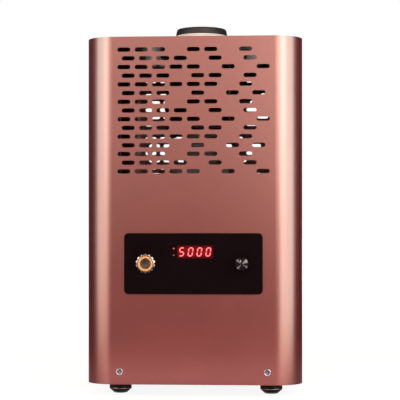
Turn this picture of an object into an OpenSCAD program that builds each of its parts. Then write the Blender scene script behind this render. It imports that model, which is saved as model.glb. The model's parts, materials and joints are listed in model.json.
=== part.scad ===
// Tabletop electric gold melting furnace with an induction coil.
// Origin: on the surface it stands on, under the centre of its overall box.
// X is to the right, Y to the rear, Z up. The control panel faces -Y.

/* [Case] */
// Width of the case
case_w = 250; // [240:5:320]
// Depth of the case, front sheet to rear sheet
case_d = 325; // [310:5:400]
// Height of the case above the feet
case_h = 400; // [390:5:500]
// Outer radius of the upright corners
corner_r = 32; // [20:1:40]
// Thickness of the case sheets
sheet_t = 2; // [1:0.5:3]
// Width of the seam between the front shell and the rear cover
seam_gap = 0.4; // [0.2:0.1:0.8]
// Straight stretch of each side that belongs to the rear cover
rear_return = 12; // [8:1:20]
// Height of the folded edges of the base tray
tray_flange_h = 25; // [22:1:40]

/* [Vents] */
// Length of a vent slot
slot_len = 15; // [12:1:16]
// Height of a vent slot
slot_h = 5; // [3:0.5:6]
// Pitch of the slots along a row
slot_pitch = 20; // [18:1:22]
// Pitch of the rows
row_pitch = 10; // [8:0.5:11]
// Number of rows of slots
slot_rows = 15; // [6:1:16]
// First row's centre below the top edge
first_row_drop = 15; // [10:1:25]

/* [Feet] */
// Diameter of a rubber foot
foot_d = 26; // [20:1:34]
// Height of a rubber foot
foot_h = 14; // [12:1:20]
// Diameter of the flat that a foot stands on
foot_flat_d = 15; // [13:1:18]
// Foot centre in from the side of the case
foot_side_inset = 36; // [32:1:50]
// Foot centre in from the front and the rear of the case
foot_end_inset = 45; // [36:1:70]

/* [Fasteners] */
// Thread diameter of the case screws
screw_d = 4; // [3:0.5:5]
// Diameter of a countersunk head
screw_head_d = 7.6; // [7:0.2:9]
// Length of a case screw
screw_len = 8; // [6:1:12]
// Case screw in from the side of the case
screw_side_inset = 40; // [38:1:55]
// Case screw above the bottom edge
screw_z = 14.5; // [12:0.5:18]

/* [Control plate] */
// Width of the black plate
plate_w = 159; // [150:1:180]
// Height of the black plate
plate_h = 70; // [60:1:90]
// Thickness of the black plate
plate_t = 1.5; // [1:0.5:3]
// Corner radius of the black plate
plate_r = 5; // [2:0.5:10]
// Centre of the plate above the bottom edge of the case
plate_z = 139; // [120:1:150]

/* [Display] */
// Width of the red display window
window_w = 41.6; // [38:0.2:50]
// Height of the red display window
window_h = 15.4; // [14:0.2:20]
// Window centre to the right of the case centre
window_x = 2; // [-10:0.5:10]
// Window centre above the plate centre
window_dz = 13.5; // [10:0.5:20]
// Height of a digit
digit_h = 10.6; // [8:0.2:12]
// Width of a digit
digit_w = 6.1; // [4:0.1:7]
// Pitch of the digits
digit_pitch = 10.2; // [8:0.1:11]
// Width of a digit's stroke
stroke_w = 1.5; // [0.8:0.1:2]
// Slant of the digits in degrees
digit_slant = 8; // [0:1:12]
// Diameter of an indicator lamp
lamp_d = 1.9; // [1.5:0.1:3]

/* [Push button] */
// Button centre from the case centre
button_x = -55; // [-60:1:-45]
// Diameter of the chrome bezel
bezel_d = 22; // [20:0.5:26]
// Height of the bezel over the plate
bezel_h = 2.6; // [2:0.1:4]
// Outer diameter of the threaded barrel
barrel_d = 18.8; // [16:0.2:19]
// Wall of the barrel
barrel_wall = 0.9; // [0.6:0.1:1.2]
// Diameter of the cap that is pressed
cap_d = 12.1; // [8:0.1:14]
// Travel of the cap
cap_travel = 2.5; // [1.5:0.5:3]

/* [Power knob] */
// Knob centre from the case centre
knob_x = 56; // [45:1:60]
// Diameter of the knob
knob_d = 15; // [14:0.5:18]
// Length of the knob
knob_len = 14; // [12:0.5:20]
// Diameter of the knob shaft
shaft_d = 6; // [4:0.5:6]
// Angle of the pointer dot to the left of straight up
pointer_angle = 18; // [0:1:60]

/* [Crucible] */
// Inner radius of the crucible
bore_r = 21; // [16:0.5:26]
// Wall of the crucible
crucible_wall = 6; // [4:0.5:8]
// Thickness of the crucible's bottom
crucible_floor = 10; // [6:1:14]
// Height of the crucible's rim over the sleeve
rim_h = 8.2; // [6:0.2:12]
// Draw-in of the rim from its foot to its top
rim_taper = 1.8; // [0:0.1:3]
// Wall of the white ceramic sleeve
sleeve_wall = 4.5; // [3:0.5:6]
// Thickness of the sleeve's bottom
sleeve_floor = 12; // [6:1:16]
// Height of the sleeve over the top plate
sleeve_rise = 23; // [15:1:30]

/* [Induction coil] */
// Thickness of the fibre lining between sleeve and coil
lining_t = 5; // [3:0.5:8]
// Diameter of the sleeved coil tube
coil_tube_d = 9.6; // [6:0.2:10]
// Number of turns
coil_turns = 6; // [4:1:7]
// Rise of the coil in one turn
coil_pitch = 11.4; // [11:0.1:12]
// Thickness of the boards over and under the coil
board_t = 8; // [5:1:12]
// Diameter of a tie rod
rod_d = 5; // [4:0.5:8]
// Radius of the pedestal under the coil
pedestal_r = 23; // [18:1:30]
// Width of the stand block under the pedestal
block_w = 72; // [50:1:80]
// Height of the stand block
block_h = 53; // [40:1:56]
// Top of the equipment deck below the top edge of the case
deck_drop = 198; // [190:1:210]

/* [Fan] */
// Width of the square fan
fan_w = 120; // [110:1:120]
// Depth of the fan
fan_t = 25; // [20:1:32]
// Radius of the fan's air way
fan_bore_r = 57.5; // [50:0.5:58]
// Radius of the rotor's hub
hub_r = 19; // [15:1:22]
// Number of blades
blade_count = 7; // [5:1:9]
// Spacing of the fan's screw holes
fan_hole_pitch = 105; // [100:0.5:105]
// Fan centre above the bottom edge
fan_z = 92; // [88:1:110]

/* [Mains side] */
// Breaker centre in from the right side of the case
breaker_side_inset = 50; // [45:1:60]
// Breaker centre above the bottom edge
breaker_z = 112; // [105:1:125]
// Width of the breaker
breaker_w = 36; // [30:1:40]
// Height of the breaker's body
breaker_h = 80; // [70:1:84]
// Swing of the lever from on to off in degrees
lever_swing = 70; // [50:1:80]
// Gland centre above the bottom edge
gland_z = 45; // [42:1:50]
// Bore of the cable gland's cap
gland_bore_d = 10; // [8:0.5:12]
// Diameter of the earth stud
earth_d = 5; // [4:1:6]
// Free length of the earth stud
earth_free = 12.5; // [10:0.5:16]

/* [Hidden] */
$fn = 64;

// Clearances
loose = 0.3;
slip = 0.1;
running = 0.05;
cut_over = 1;
// Overlap that makes two solids of one piece join
join = 0.01;
// Depth of a sheet fold's root in the sheet it is folded from
fold_root = 0.5;
// Folds and rails stop this far short of what lies beyond their ends
fold_gap = 4;

// Colours
copper_red = [0.70, 0.44, 0.38];
steel_grey = [0.62, 0.63, 0.65];
near_black = [0.07, 0.06, 0.07];

// Case
front_y = -case_d / 2;
rear_y = case_d / 2;
in_front_y = front_y + sheet_t;
in_rear_y = rear_y - sheet_t;
in_x = case_w / 2 - sheet_t;
seam_y = rear_y - corner_r - rear_return;
straight_x = case_w / 2 - corner_r;
straight_y = case_d / 2 - corner_r;
plate_front = front_y - plate_t;
knob_end = plate_front - loose - knob_len;
front_reach = front_y - knob_end;
gland_flange_t = 6;
gland_cap_len = 11.5;
rear_reach = gland_flange_t + gland_cap_len;
case_y = (front_reach - rear_reach) / 2;

// Screws
screw_x = case_w / 2 - screw_side_inset;
screw_r = screw_d / 2;
screw_hole_r = screw_r + slip;
pan_head_r = 3.8;
pan_head_h = 2.6;
recess_w = 4.4;
recess_t = 1;
recess_depth = 1.3;
drill_depth = 20;

// Vent pattern: places along a row, counted in pitches from the first place
slot_places = [
    [0, 1, 2, 4, 5, 7],
    [0, 1, 2, 3, 5, 7],
    [0, 1, 2, 3, 4, 6, 8],
    [0, 1, 2, 4, 5, 7],
    [0, 1, 2, 3, 4, 5, 7],
    [0, 1, 2, 4, 6, 7.5]
];
row_places = 9;
row_shift = slot_pitch / 4;
first_slot_x = -(row_places - 1) * slot_pitch / 2;

// Control side
window_z = plate_z + window_dz;
window_t = 1;
window_front = plate_front + 0.5;
digit_t = 0.2;
block_front = window_front + window_t;
board_front = in_front_y + 11;
board_thick = 1.6;
display_board_w = 72;
display_board_h = 44;
display_board_z = plate_z + 7;
board_hole_r = 1.6;
board_screw_r = 1.5;
board_head_r = 2.8;
board_head_h = 2;
standoff_r = 2.5;
standoff_inset = 4;
block_inset = 0.5;
lamp_points = [
    [window_x - 24.4, window_z + 3.8],
    [window_x - 24.4, window_z - 3.8],
    [window_x - 30.2, window_z + 3.4]
];
digit_text = ["5", "0", "0", "0"];

// Push button
barrel_r = barrel_d / 2;
ring_out_r = barrel_r - barrel_wall - running;
cap_r = cap_d / 2;
barrel_back = in_front_y + 22;
cap_front = plate_front - bezel_h + 0.4;
ring_front = plate_front - bezel_h + 0.6;
cap_back = plate_front + 14;
switch_front = cap_back + cap_travel + 0.5;
switch_back = switch_front + 20;
button_nut_t = 4.5;
button_nut_r = barrel_r + 4.4;

// Power knob
shaft_r = shaft_d / 2;
bushing_r = shaft_r + 0.75;
bushing_front = plate_front - 4;
pot_front = in_front_y + 2;
pot_r = 8.5;
pot_t = 10;
shaft_back = pot_front + 6;
shaft_front = knob_end + 2;
knob_r = knob_d / 2;
knob_recess_r = bushing_r + 1.6;
knob_recess = 4.8;
pointer_r = 0.6;
pointer_depth = 0.6;
pointer_place_r = 3.6;

// Crucible and coil, heights above the bottom edge of the case
top_z = case_h - sheet_t;
body_r = bore_r + crucible_wall;
sleeve_in_r = body_r + 0.5;
sleeve_r = sleeve_in_r + sleeve_wall;
rim_r = sleeve_r + loose;
sleeve_top = case_h + sleeve_rise;
rim_top = sleeve_top + rim_h;
lining_in_r = sleeve_r + loose;
lining_r = lining_in_r + lining_t;
tube_r = coil_tube_d / 2;
coil_r = lining_r + loose + tube_r;
coil_out_r = coil_r + tube_r;
rod_r = rod_d / 2;
rod_xy = (coil_out_r + rod_r + 3) / sqrt(2);
board_half = rod_xy + rod_r + 8;
coil_h = coil_turns * coil_pitch + coil_tube_d;
coil_top_z = top_z - board_t - loose;
coil_bottom_z = coil_top_z - coil_h;
base_board_top = coil_bottom_z - loose;
base_board_z = base_board_top - board_t;
deck_top = case_h - deck_drop;
deck_z = deck_top - sheet_t;
deck_flange_h = 20;
deck_front_inset = 62;
deck_rear_inset = 78;
deck_front = front_y + deck_front_inset;
deck_rear = rear_y - deck_rear_inset;
lead_hole_r = 6;
block_top = deck_top + block_h;
rod_nut_t = 4;
rod_nut_r = rod_r * 1.85;
crucible_bottom = base_board_top + sleeve_floor + 2;

// Coil leads and busbars
lead_x = 18;
lead_y = board_half + 12;
cap_box = [45, 50, 40];
cap_x = block_w / 2 + 14;
cap_y = lead_y - 34;
power_lead_r = 3.5;
post_inset = 26.3;
post_x = max(case_w / 2 - post_inset, cap_x + cap_box[0] + power_lead_r + 2 * slip);
bar_t = 3;
bar_w = 20;
bolt_head_h = 4;
bolt_depth = 8;
bar_top = deck_top + cap_box[2] + bar_t;

// Lower compartment
tray_top = sheet_t;
board_z = tray_top + 10;
board_w = 128;
board_len = 150;
board_x = -case_w / 2 + 14;
board_y = front_y + 96;
module_h = 22;
module_w = 34;
module_len = 94;
sink_z = board_z + board_thick + module_h;
sink_base = 8;
sink_h = 58;
sink_w = 92;
fin_count = 13;
fin_t = 2;
can_r = 22;
can_h = 78;
can_x = case_w / 2 - 58;
can_terminal_r = 3;
can_ys = [front_y + 62, front_y + 112];
choke_y = front_y + 172;
choke_r = 28;
choke_in_r = 14;
choke_h = 24;

// Fan
fan_x = -straight_x + fan_w / 2 + 1;
fan_front = in_rear_y - fan_t;
strut_t = 3;
axle_r = 1.6;
bearing_len = fan_t - 8;
hub_cap_z = bearing_len + 0.5;

// Mains side
breaker_x = case_w / 2 - breaker_side_inset;
breaker_depth = 66;
breaker_front = in_rear_y - breaker_depth;
breaker_shoulder = in_rear_y - loose;
nose_rear = rear_y + 1;
nose_half = 21;
nose_wall = 3;
cheek_t = 2.7;
lever_y = rear_y - 4.5;
lever_hub_r = 6;
lever_len = 17;
lever_t = 5;
lever_pin_r = 1.5;
lever_pin_seat = 0.6;
gland_body_r = 9.8;
gland_thread_len = 12;
gland_hex = 3.6;
earth_x = case_w / 2 - 88;

// Places of the screws in each side: distance to the rear, height
rail_w = 28;
rail_bottom = tray_flange_h + fold_gap;
top_flange_h = first_row_drop - slot_h / 2 - 1.5;
rail_top = case_h - top_flange_h - fold_gap;
top_screw_z = case_h - 6;
deck_screw_z = deck_z - deck_flange_h / 2;
deck_screw_inset = 30;
rail_screw_zs = [case_h * 0.16, case_h * 0.4, case_h * 0.84];
side_screw_points = concat(
    [for (y = [front_y + 62, seam_y - 40]) for (z = [screw_z, top_screw_z]) [y, z]],
    [for (y = [deck_front + deck_screw_inset, deck_rear - deck_screw_inset]) [y, deck_screw_z]],
    [for (y = [seam_y - rail_w / 4, seam_y + rail_w / 4]) for (z = rail_screw_zs) [y, z]]
);

module at_case() {
    translate([0, case_y, foot_h]) children();
}

// Turns a flat shape to stand in the front plane, thickened towards -Y
module facing_front(x, y, z) {
    translate([x, y, z]) rotate([90, 0, 0]) children();
}

// The same towards +Y
module facing_rear(x, y, z) {
    translate([x, y, z]) rotate([-90, 0, 0]) children();
}

// On the right, and mirrored on the left
module each_side() {
    children();
    mirror([1, 0, 0]) children();
}

module rounded_2d(w, d, r) {
    square([w - 2 * r, d], center = true);
    square([w, d - 2 * r], center = true);
    for (x = [-1, 1]) for (y = [-1, 1])
        translate([x * (w / 2 - r), y * (d / 2 - r)]) circle(r);
}

module slot_2d(len, h) {
    square([len - h, h], center = true);
    for (x = [-1, 1]) translate([x * (len - h) / 2, 0]) circle(h / 2, $fn = 32);
}

module tube(r_out, r_in, h) {
    difference() {
        cylinder(r = r_out, h = h);
        translate([0, 0, -cut_over]) cylinder(r = r_in, h = h + 2 * cut_over);
    }
}

module hex_nut(r_corner, r_in, h) {
    difference() {
        cylinder(r = r_corner, h = h, $fn = 6);
        translate([0, 0, -cut_over]) cylinder(r = r_in, h = h + 2 * cut_over);
    }
}

// Vent slots of one panel, centre of the case at x = 0
module vent_pattern_2d() {
    for (row = [0 : slot_rows - 1])
        for (place = slot_places[row % len(slot_places)])
            translate([
                first_slot_x + place * slot_pitch + (row % 2) * row_shift,
                case_h - first_row_drop - row * row_pitch
            ]) slot_2d(slot_len, slot_h);
}

// Vent slots over the fan: the rows of the same slot that fit in its round air way
module fan_slots_2d() {
    edge = 1;
    rows = floor(fan_bore_r / row_pitch);
    places = ceil(fan_bore_r / slot_pitch);
    for (row = [-rows : rows]) for (place = [-places : places]) {
        x = place * slot_pitch + (row % 2 == 0 ? 0 : slot_pitch / 2);
        if (norm([abs(x) + slot_len / 2, row * row_pitch]) < fan_bore_r - edge)
            translate([x, row * row_pitch]) slot_2d(slot_len, slot_h);
    }
}

module wrap_ring() {
    linear_extrude(case_h) difference() {
        rounded_2d(case_w, case_d, corner_r);
        rounded_2d(in_x * 2, case_d - 2 * sheet_t, corner_r - sheet_t);
    }
}

// Countersunk hole, its mouth at z = 0 and its axis down
module countersink() {
    head_r = screw_head_d / 2 + slip;
    depth = head_r - screw_hole_r;
    translate([0, 0, -sheet_t - cut_over]) cylinder(r = screw_hole_r, h = sheet_t + 2 * cut_over);
    translate([0, 0, -depth]) cylinder(r1 = screw_hole_r, r2 = head_r, h = depth);
    translate([0, 0, -join]) cylinder(r = head_r, h = cut_over);
}

// Plain hole from z = 0 down through all the sheets there
module drill() {
    translate([0, 0, -drill_depth]) cylinder(r = screw_hole_r, h = drill_depth + cut_over);
}

// Cross recess of a screw head, its mouth at z = 0
module cross_recess() {
    for (turn = [0, 90]) rotate([0, 0, turn]) cube([recess_w, recess_t, 2 * recess_depth], center = true);
}

// Countersunk cross-recess screw, its head flush at z = 0
module countersunk_screw() {
    head_r = screw_head_d / 2;
    head_h = head_r - screw_r;
    difference() {
        union() {
            translate([0, 0, -head_h]) cylinder(r1 = screw_r, r2 = head_r, h = head_h);
            translate([0, 0, -screw_len]) cylinder(r = screw_r, h = screw_len - head_h + join);
        }
        cross_recess();
    }
}

// Raised screw head that stands on z = 0
module pan_head() {
    difference() {
        cylinder(r = pan_head_r, h = pan_head_h);
        translate([0, 0, pan_head_h]) cross_recess();
    }
}

module side_holes(head) {
    each_side() for (p = side_screw_points)
        translate([case_w / 2, p[0], p[1]]) rotate([0, 90, 0])
            if (head) countersink();
            else drill();
}

module rear_screw_places() {
    for (x = [-screw_x, screw_x]) for (z = [screw_z, top_screw_z])
        facing_rear(x, rear_y, z) children();
}

module front_screw_places() {
    for (x = [-screw_x, screw_x]) facing_front(x, front_y, screw_z) children();
}

// Holes through plate and front sheet for the three controls
module control_cuts() {
    deep = 2 * (plate_t + sheet_t + cut_over);
    facing_front(button_x, front_y + deep / 2, plate_z) cylinder(r = barrel_r + slip, h = deep);
    facing_front(knob_x, front_y + deep / 2, plate_z) cylinder(r = bushing_r + slip, h = deep);
    facing_front(window_x, front_y + deep / 2, window_z)
        linear_extrude(deep) square([window_w + 2 * slip, window_h + 2 * slip], center = true);
    for (p = lamp_points) facing_front(p[0], front_y + deep / 2, p[1])
        cylinder(r = lamp_d / 2 + slip, h = deep, $fn = 32);
}

module front_shell() {
    color(copper_red) at_case() difference() {
        wrap_ring();
        translate([-case_w, seam_y - seam_gap / 2, -cut_over])
            cube([2 * case_w, case_d, case_h + 2 * cut_over]);
        facing_front(0, in_front_y + cut_over, 0)
            linear_extrude(sheet_t + 2 * cut_over) vent_pattern_2d();
        control_cuts();
        front_screw_places() countersink();
        side_holes(true);
    }
}

module rear_cover() {
    color(copper_red) at_case() difference() {
        wrap_ring();
        translate([-case_w, seam_y + seam_gap / 2 - case_d, -cut_over])
            cube([2 * case_w, case_d, case_h + 2 * cut_over]);
        facing_front(0, rear_y + cut_over, 0)
            linear_extrude(sheet_t + 2 * cut_over) vent_pattern_2d();
        side_holes(true);
        rear_screw_places() countersink();
        facing_rear(fan_x, in_rear_y - cut_over, fan_z) {
            linear_extrude(sheet_t + 2 * cut_over) fan_slots_2d();
            fan_hole_places() cylinder(r = screw_hole_r, h = sheet_t + 2 * cut_over);
        }
        facing_rear(breaker_x, in_rear_y - cut_over, breaker_z)
            linear_extrude(sheet_t + 2 * cut_over)
                square([breaker_w + 2 * loose, 2 * (nose_half + loose)], center = true);
        facing_rear(breaker_x, in_rear_y - cut_over, gland_z)
            cylinder(r = gland_body_r + slip, h = sheet_t + 2 * cut_over);
        facing_rear(earth_x, in_rear_y - cut_over, gland_z)
            cylinder(r = earth_d / 2 + slip, h = sheet_t + 2 * cut_over);
    }
}

// Flat sheet that fits inside the wrap of the case
module inner_sheet() {
    linear_extrude(sheet_t)
        rounded_2d(2 * (in_x - loose), 2 * (in_rear_y - loose), corner_r - sheet_t - loose);
}

// Folded edge along each side, from z up by h
module side_folds(z, h) {
    each_side() translate([in_x - loose - sheet_t, fold_gap - straight_y, z])
        cube([sheet_t, 2 * (straight_y - fold_gap), h]);
}

// Folded edge along the rear, from z up by h
module rear_fold(z, h) {
    translate([fold_gap - straight_x, in_rear_y - loose - sheet_t, z])
        cube([2 * (straight_x - fold_gap), sheet_t, h]);
}

module top_plate() {
    fold_z = case_h - top_flange_h;
    fold_h = top_flange_h - fold_root;
    color(copper_red) at_case() difference() {
        union() {
            translate([0, 0, top_z]) inner_sheet();
            side_folds(fold_z, fold_h);
            rear_fold(fold_z, fold_h);
        }
        translate([0, 0, top_z - cut_over]) cylinder(r = sleeve_r + loose, h = sheet_t + 2 * cut_over);
        side_holes(false);
        rear_screw_places() drill();
        top_screw_places() countersink();
    }
}

module base_tray() {
    fold_h = tray_flange_h - fold_root;
    vent_len = 50;
    vent_pitch = 14;
    color(steel_grey) at_case() difference() {
        union() {
            inner_sheet();
            side_folds(fold_root, fold_h);
            rear_fold(fold_root, fold_h);
            mirror([0, 1, 0]) rear_fold(fold_root, fold_h);
        }
        foot_places() translate([0, 0, -cut_over]) cylinder(r = screw_hole_r, h = sheet_t + 2 * cut_over);
        side_holes(false);
        front_screw_places() drill();
        rear_screw_places() drill();
        for (i = [-4 : 4]) translate([0, i * vent_pitch, -cut_over])
            linear_extrude(sheet_t + 2 * cut_over) slot_2d(vent_len, slot_h);
    }
}

module side_rails() {
    color(steel_grey) at_case() difference() {
        each_side() translate([in_x - loose - sheet_t, seam_y - rail_w / 2, rail_bottom])
            cube([sheet_t, rail_w, rail_top - rail_bottom]);
        side_holes(false);
    }
}

module equipment_deck() {
    inner = in_x - loose;
    vent_len = 40;
    vent_pitch = 14;
    vent_x = inner - 40;
    color(steel_grey) at_case() difference() {
        union() {
            translate([-inner, deck_front, deck_z]) cube([2 * inner, deck_rear - deck_front, sheet_t]);
            each_side() translate([inner - sheet_t, deck_front, deck_z - deck_flange_h])
                cube([sheet_t, deck_rear - deck_front, deck_flange_h + fold_root]);
        }
        side_holes(false);
        each_side() translate([post_x, lead_y, deck_z - cut_over])
            cylinder(r = lead_hole_r, h = sheet_t + 2 * cut_over);
        each_side() for (i = [0 : 4]) translate([vent_x, (i - 4.5) * vent_pitch, deck_z - cut_over])
            linear_extrude(sheet_t + 2 * cut_over) slot_2d(vent_len, slot_h);
    }
}

module foot_places() {
    for (x = [-1, 1]) for (y = [-1, 1])
        translate([x * (case_w / 2 - foot_side_inset), y * (case_d / 2 - foot_end_inset), 0]) children();
}

// Well in a foot for the screw's head
foot_well_r = pan_head_r + 0.4;
foot_well = 7;

module rubber_feet() {
    r = foot_d / 2;
    flat = foot_flat_d / 2;
    straight = foot_h * 0.42;
    color([0.05, 0.05, 0.05]) at_case() foot_places() translate([0, 0, -foot_h]) rotate_extrude()
        polygon(concat(
            [[screw_hole_r, foot_h], [r, foot_h]],
            [for (a = [0 : 15 : 90]) [flat + (r - flat) * cos(a), (foot_h - straight) * (1 - sin(a))]],
            [[foot_well_r, 0], [foot_well_r, foot_well], [screw_hole_r, foot_well]]
        ));
}

module foot_screws() {
    nut_t = 3.2;
    past_nut = 1.8;
    color([0.55, 0.55, 0.56]) at_case() foot_places() {
        translate([0, 0, foot_well - foot_h]) {
            cylinder(r = screw_r, h = foot_h - foot_well + sheet_t + nut_t + past_nut);
            mirror([0, 0, 1]) pan_head();
        }
        translate([0, 0, sheet_t]) hex_nut(screw_d, screw_r, nut_t);
    }
}

module front_screws() {
    color([0.6, 0.6, 0.6]) at_case() front_screw_places() countersunk_screw();
}

module rear_screws() {
    color([0.6, 0.6, 0.6]) at_case() rear_screw_places() countersunk_screw();
}

module side_screws() {
    color([0.6, 0.6, 0.6]) at_case() each_side() for (p = side_screw_points)
        translate([case_w / 2, p[0], p[1]]) rotate([0, 90, 0]) countersunk_screw();
}

module control_plate() {
    color(near_black) at_case() difference() {
        facing_front(0, front_y, plate_z) linear_extrude(plate_t) rounded_2d(plate_w, plate_h, plate_r);
        control_cuts();
    }
}

module display_window() {
    window_r = 0.6;
    color([0.45, 0, 0.03]) at_case() facing_front(window_x, window_front + window_t, window_z)
        linear_extrude(window_t) rounded_2d(window_w, window_h, window_r);
}

// One stroke of a digit, pointed at both ends, leaning as the digit leans
module stroke_2d(place, len, upright) {
    half = stroke_w / 2;
    outline = [
        [-len / 2, 0], [-len / 2 + half, half], [len / 2 - half, half],
        [len / 2, 0], [len / 2 - half, -half], [-len / 2 + half, -half]
    ];
    polygon([for (p = outline) let (q = (upright ? [-p[1], p[0]] : p) + place)
        [q[0] + tan(digit_slant) * q[1], q[1]]]);
}

// Seven-stroke figure about its centre
module figure_2d(figure) {
    stroke_gap = 0.3;
    side = (digit_w - stroke_w) / 2;
    high = (digit_h - stroke_w) / 2;
    five = figure == "5";
    for (z = five ? [-high, 0, high] : [-high, high]) stroke_2d([0, z], 2 * side - stroke_gap, false);
    for (place = five ? [[-1, 1], [1, -1]] : [[-1, 1], [1, 1], [-1, -1], [1, -1]])
        stroke_2d([place[0] * side, place[1] * high / 2], high - stroke_gap, true);
}

module display_digits() {
    color([1, 0.5, 0.5]) at_case() facing_front(window_x, window_front, window_z)
        for (i = [0 : len(digit_text) - 1])
            translate([(i - (len(digit_text) - 1) / 2) * digit_pitch, 0, 0])
                linear_extrude(digit_t) figure_2d(digit_text[i]);
}

module display_block() {
    w = window_w - 2 * block_inset;
    h = window_h - 2 * block_inset;
    color([0.1, 0.1, 0.1]) at_case() translate([window_x - w / 2, block_front, window_z - h / 2])
        cube([w, board_front - block_front, h]);
}

module indicator_lamps() {
    color([0.8, 0.1, 0.1]) at_case() for (p = lamp_points)
        facing_front(p[0], board_front, p[1])
            cylinder(r = lamp_d / 2, h = board_front - plate_front, $fn = 32);
}

module display_board() {
    color([0.05, 0.3, 0.12]) at_case() difference() {
        translate([-display_board_w / 2, board_front, display_board_z - display_board_h / 2])
            cube([display_board_w, board_thick, display_board_h]);
        standoff_places() translate([0, 0, -cut_over])
            cylinder(r = board_hole_r, h = board_thick + 2 * cut_over);
    }
}

module standoff_places() {
    for (x = [-1, 1]) for (z = [-1, 1])
        facing_rear(
            x * (display_board_w / 2 - standoff_inset), board_front,
            display_board_z + z * (display_board_h / 2 - standoff_inset)
        ) children();
}

module board_standoffs() {
    color([0.75, 0.62, 0.3]) at_case() standoff_places() {
        translate([0, 0, in_front_y - board_front]) cylinder(r = standoff_r, h = board_front - in_front_y);
        board_screw();
    }
}

// Screw that clamps a board: its head over the board, its shank in the board's hole
module board_screw() {
    translate([0, 0, -join]) cylinder(r = board_screw_r, h = board_thick + 2 * join);
    translate([0, 0, board_thick]) cylinder(r = board_head_r, h = board_head_h);
}

module button_bezel() {
    bezel_r = bezel_d / 2;
    in_r = barrel_r - barrel_wall;
    lip = 0.9;
    edge = 0.4;
    color([0.8, 0.8, 0.8]) at_case() facing_front(button_x, plate_front, plate_z) rotate_extrude()
        polygon([
            [in_r, bezel_h], [in_r + lip, bezel_h], [bezel_r - edge, bezel_h * 0.45],
            [bezel_r, bezel_h * 0.25], [bezel_r, 0], [barrel_r, 0],
            [barrel_r, plate_front - barrel_back], [in_r, plate_front - barrel_back]
        ]);
}

module button_light_ring() {
    color([1, 0.7, 0.3]) at_case() facing_front(button_x, switch_front, plate_z)
        tube(ring_out_r, cap_r + slip, switch_front - ring_front);
}

module button_cap() {
    edge = 0.5;
    color([0.25, 0.23, 0.22]) at_case() facing_front(button_x, cap_back, plate_z) {
        cylinder(r = cap_r, h = cap_back - cap_front - edge);
        translate([0, 0, cap_back - cap_front - edge]) cylinder(r1 = cap_r, r2 = cap_r - edge, h = edge);
    }
}

module button_switch() {
    len = switch_back - switch_front;
    tab = [0.8, 2, 5];
    color([0.12, 0.12, 0.12]) at_case() facing_rear(button_x, switch_front, plate_z) {
        cylinder(r = ring_out_r, h = len);
        for (x = [-5, 5]) for (y = [-2, 2]) translate([x, y, len + tab[2] / 2]) cube(tab, center = true);
    }
}

module button_nut() {
    color([0.75, 0.75, 0.72]) at_case() facing_rear(button_x, in_front_y, plate_z)
        hex_nut(button_nut_r, barrel_r + running, button_nut_t);
}

module power_knob() {
    edge = 0.8;
    grips = 28;
    grip_r = 0.45;
    grip_out = 0.1;
    grip_end = 2.5;
    color([0.08, 0.08, 0.09]) at_case() facing_front(knob_x, plate_front - loose, plate_z) difference() {
        union() {
            cylinder(r = knob_r, h = knob_len - edge);
            translate([0, 0, knob_len - edge]) cylinder(r1 = knob_r, r2 = knob_r - edge, h = edge);
        }
        translate([0, 0, -cut_over]) cylinder(r = knob_recess_r, h = knob_recess + cut_over);
        cylinder(r = shaft_r + running, h = knob_len - 2);
        for (i = [0 : grips - 1]) rotate([0, 0, i * 360 / grips])
            translate([knob_r + grip_out, 0, grip_end])
                cylinder(r = grip_r, h = knob_len - 2 * grip_end, $fn = 16);
        pointer_place() cylinder(r = pointer_r, h = pointer_depth + cut_over, $fn = 24);
    }
}

// Floor of the pointer dot's hole in the knob's face
module pointer_place() {
    rotate([0, 0, pointer_angle]) translate([0, pointer_place_r, knob_len - pointer_depth]) children();
}

module knob_pointer() {
    proud = 0.02;
    color([0.95, 0.95, 0.95]) at_case() facing_front(knob_x, plate_front - loose, plate_z)
        pointer_place() cylinder(r = pointer_r, h = pointer_depth + proud, $fn = 24);
}

module knob_shaft() {
    color([0.7, 0.7, 0.72]) at_case() facing_front(knob_x, shaft_back, plate_z)
        cylinder(r = shaft_r, h = shaft_back - shaft_front);
}

module potentiometer() {
    bushing_len = pot_front - bushing_front;
    lugs = [14, pot_r + 6, 1.6];
    lugs_z = 3;
    color([0.6, 0.6, 0.58]) at_case() facing_rear(knob_x, pot_front, plate_z) difference() {
        union() {
            cylinder(r = pot_r, h = pot_t);
            translate([0, 0, -bushing_len]) cylinder(r = bushing_r, h = bushing_len + 1);
            translate([-lugs[0] / 2, 0, lugs_z]) cube(lugs);
        }
        translate([0, 0, -bushing_len - cut_over])
            cylinder(r = shaft_r + running, h = shaft_back - bushing_front + loose + cut_over);
    }
}

module potentiometer_nut() {
    nut_wall = 1.2;
    nut_t = 2.4;
    washer_wall = 3;
    color([0.8, 0.8, 0.78]) at_case() {
        facing_front(knob_x, plate_front, plate_z)
            hex_nut(bushing_r + nut_wall, bushing_r + running, nut_t);
        facing_front(knob_x, pot_front, plate_z)
            tube(bushing_r + washer_wall, bushing_r + slip, pot_front - in_front_y);
    }
}

module crucible() {
    heel = 3;
    well_edge = 6;
    mouth_edge = 1.5;
    well_z = crucible_bottom + crucible_floor;
    color([0.15, 0.15, 0.16]) at_case() rotate_extrude($fn = 96) difference() {
        polygon([
            [0, crucible_bottom], [body_r - heel, crucible_bottom], [body_r, crucible_bottom + heel],
            [body_r, sleeve_top], [rim_r, sleeve_top], [rim_r - rim_taper * 0.45, rim_top - 2.4],
            [rim_r - rim_taper * 0.75, rim_top - 0.9], [rim_r - rim_taper * 1.25, rim_top], [0, rim_top]
        ]);
        polygon([
            [-cut_over, well_z], [bore_r - well_edge, well_z], [bore_r, well_z + well_edge],
            [bore_r, rim_top - mouth_edge], [bore_r + mouth_edge, rim_top + join],
            [bore_r + mouth_edge, rim_top + cut_over], [-cut_over, rim_top + cut_over]
        ]);
    }
}

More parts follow.
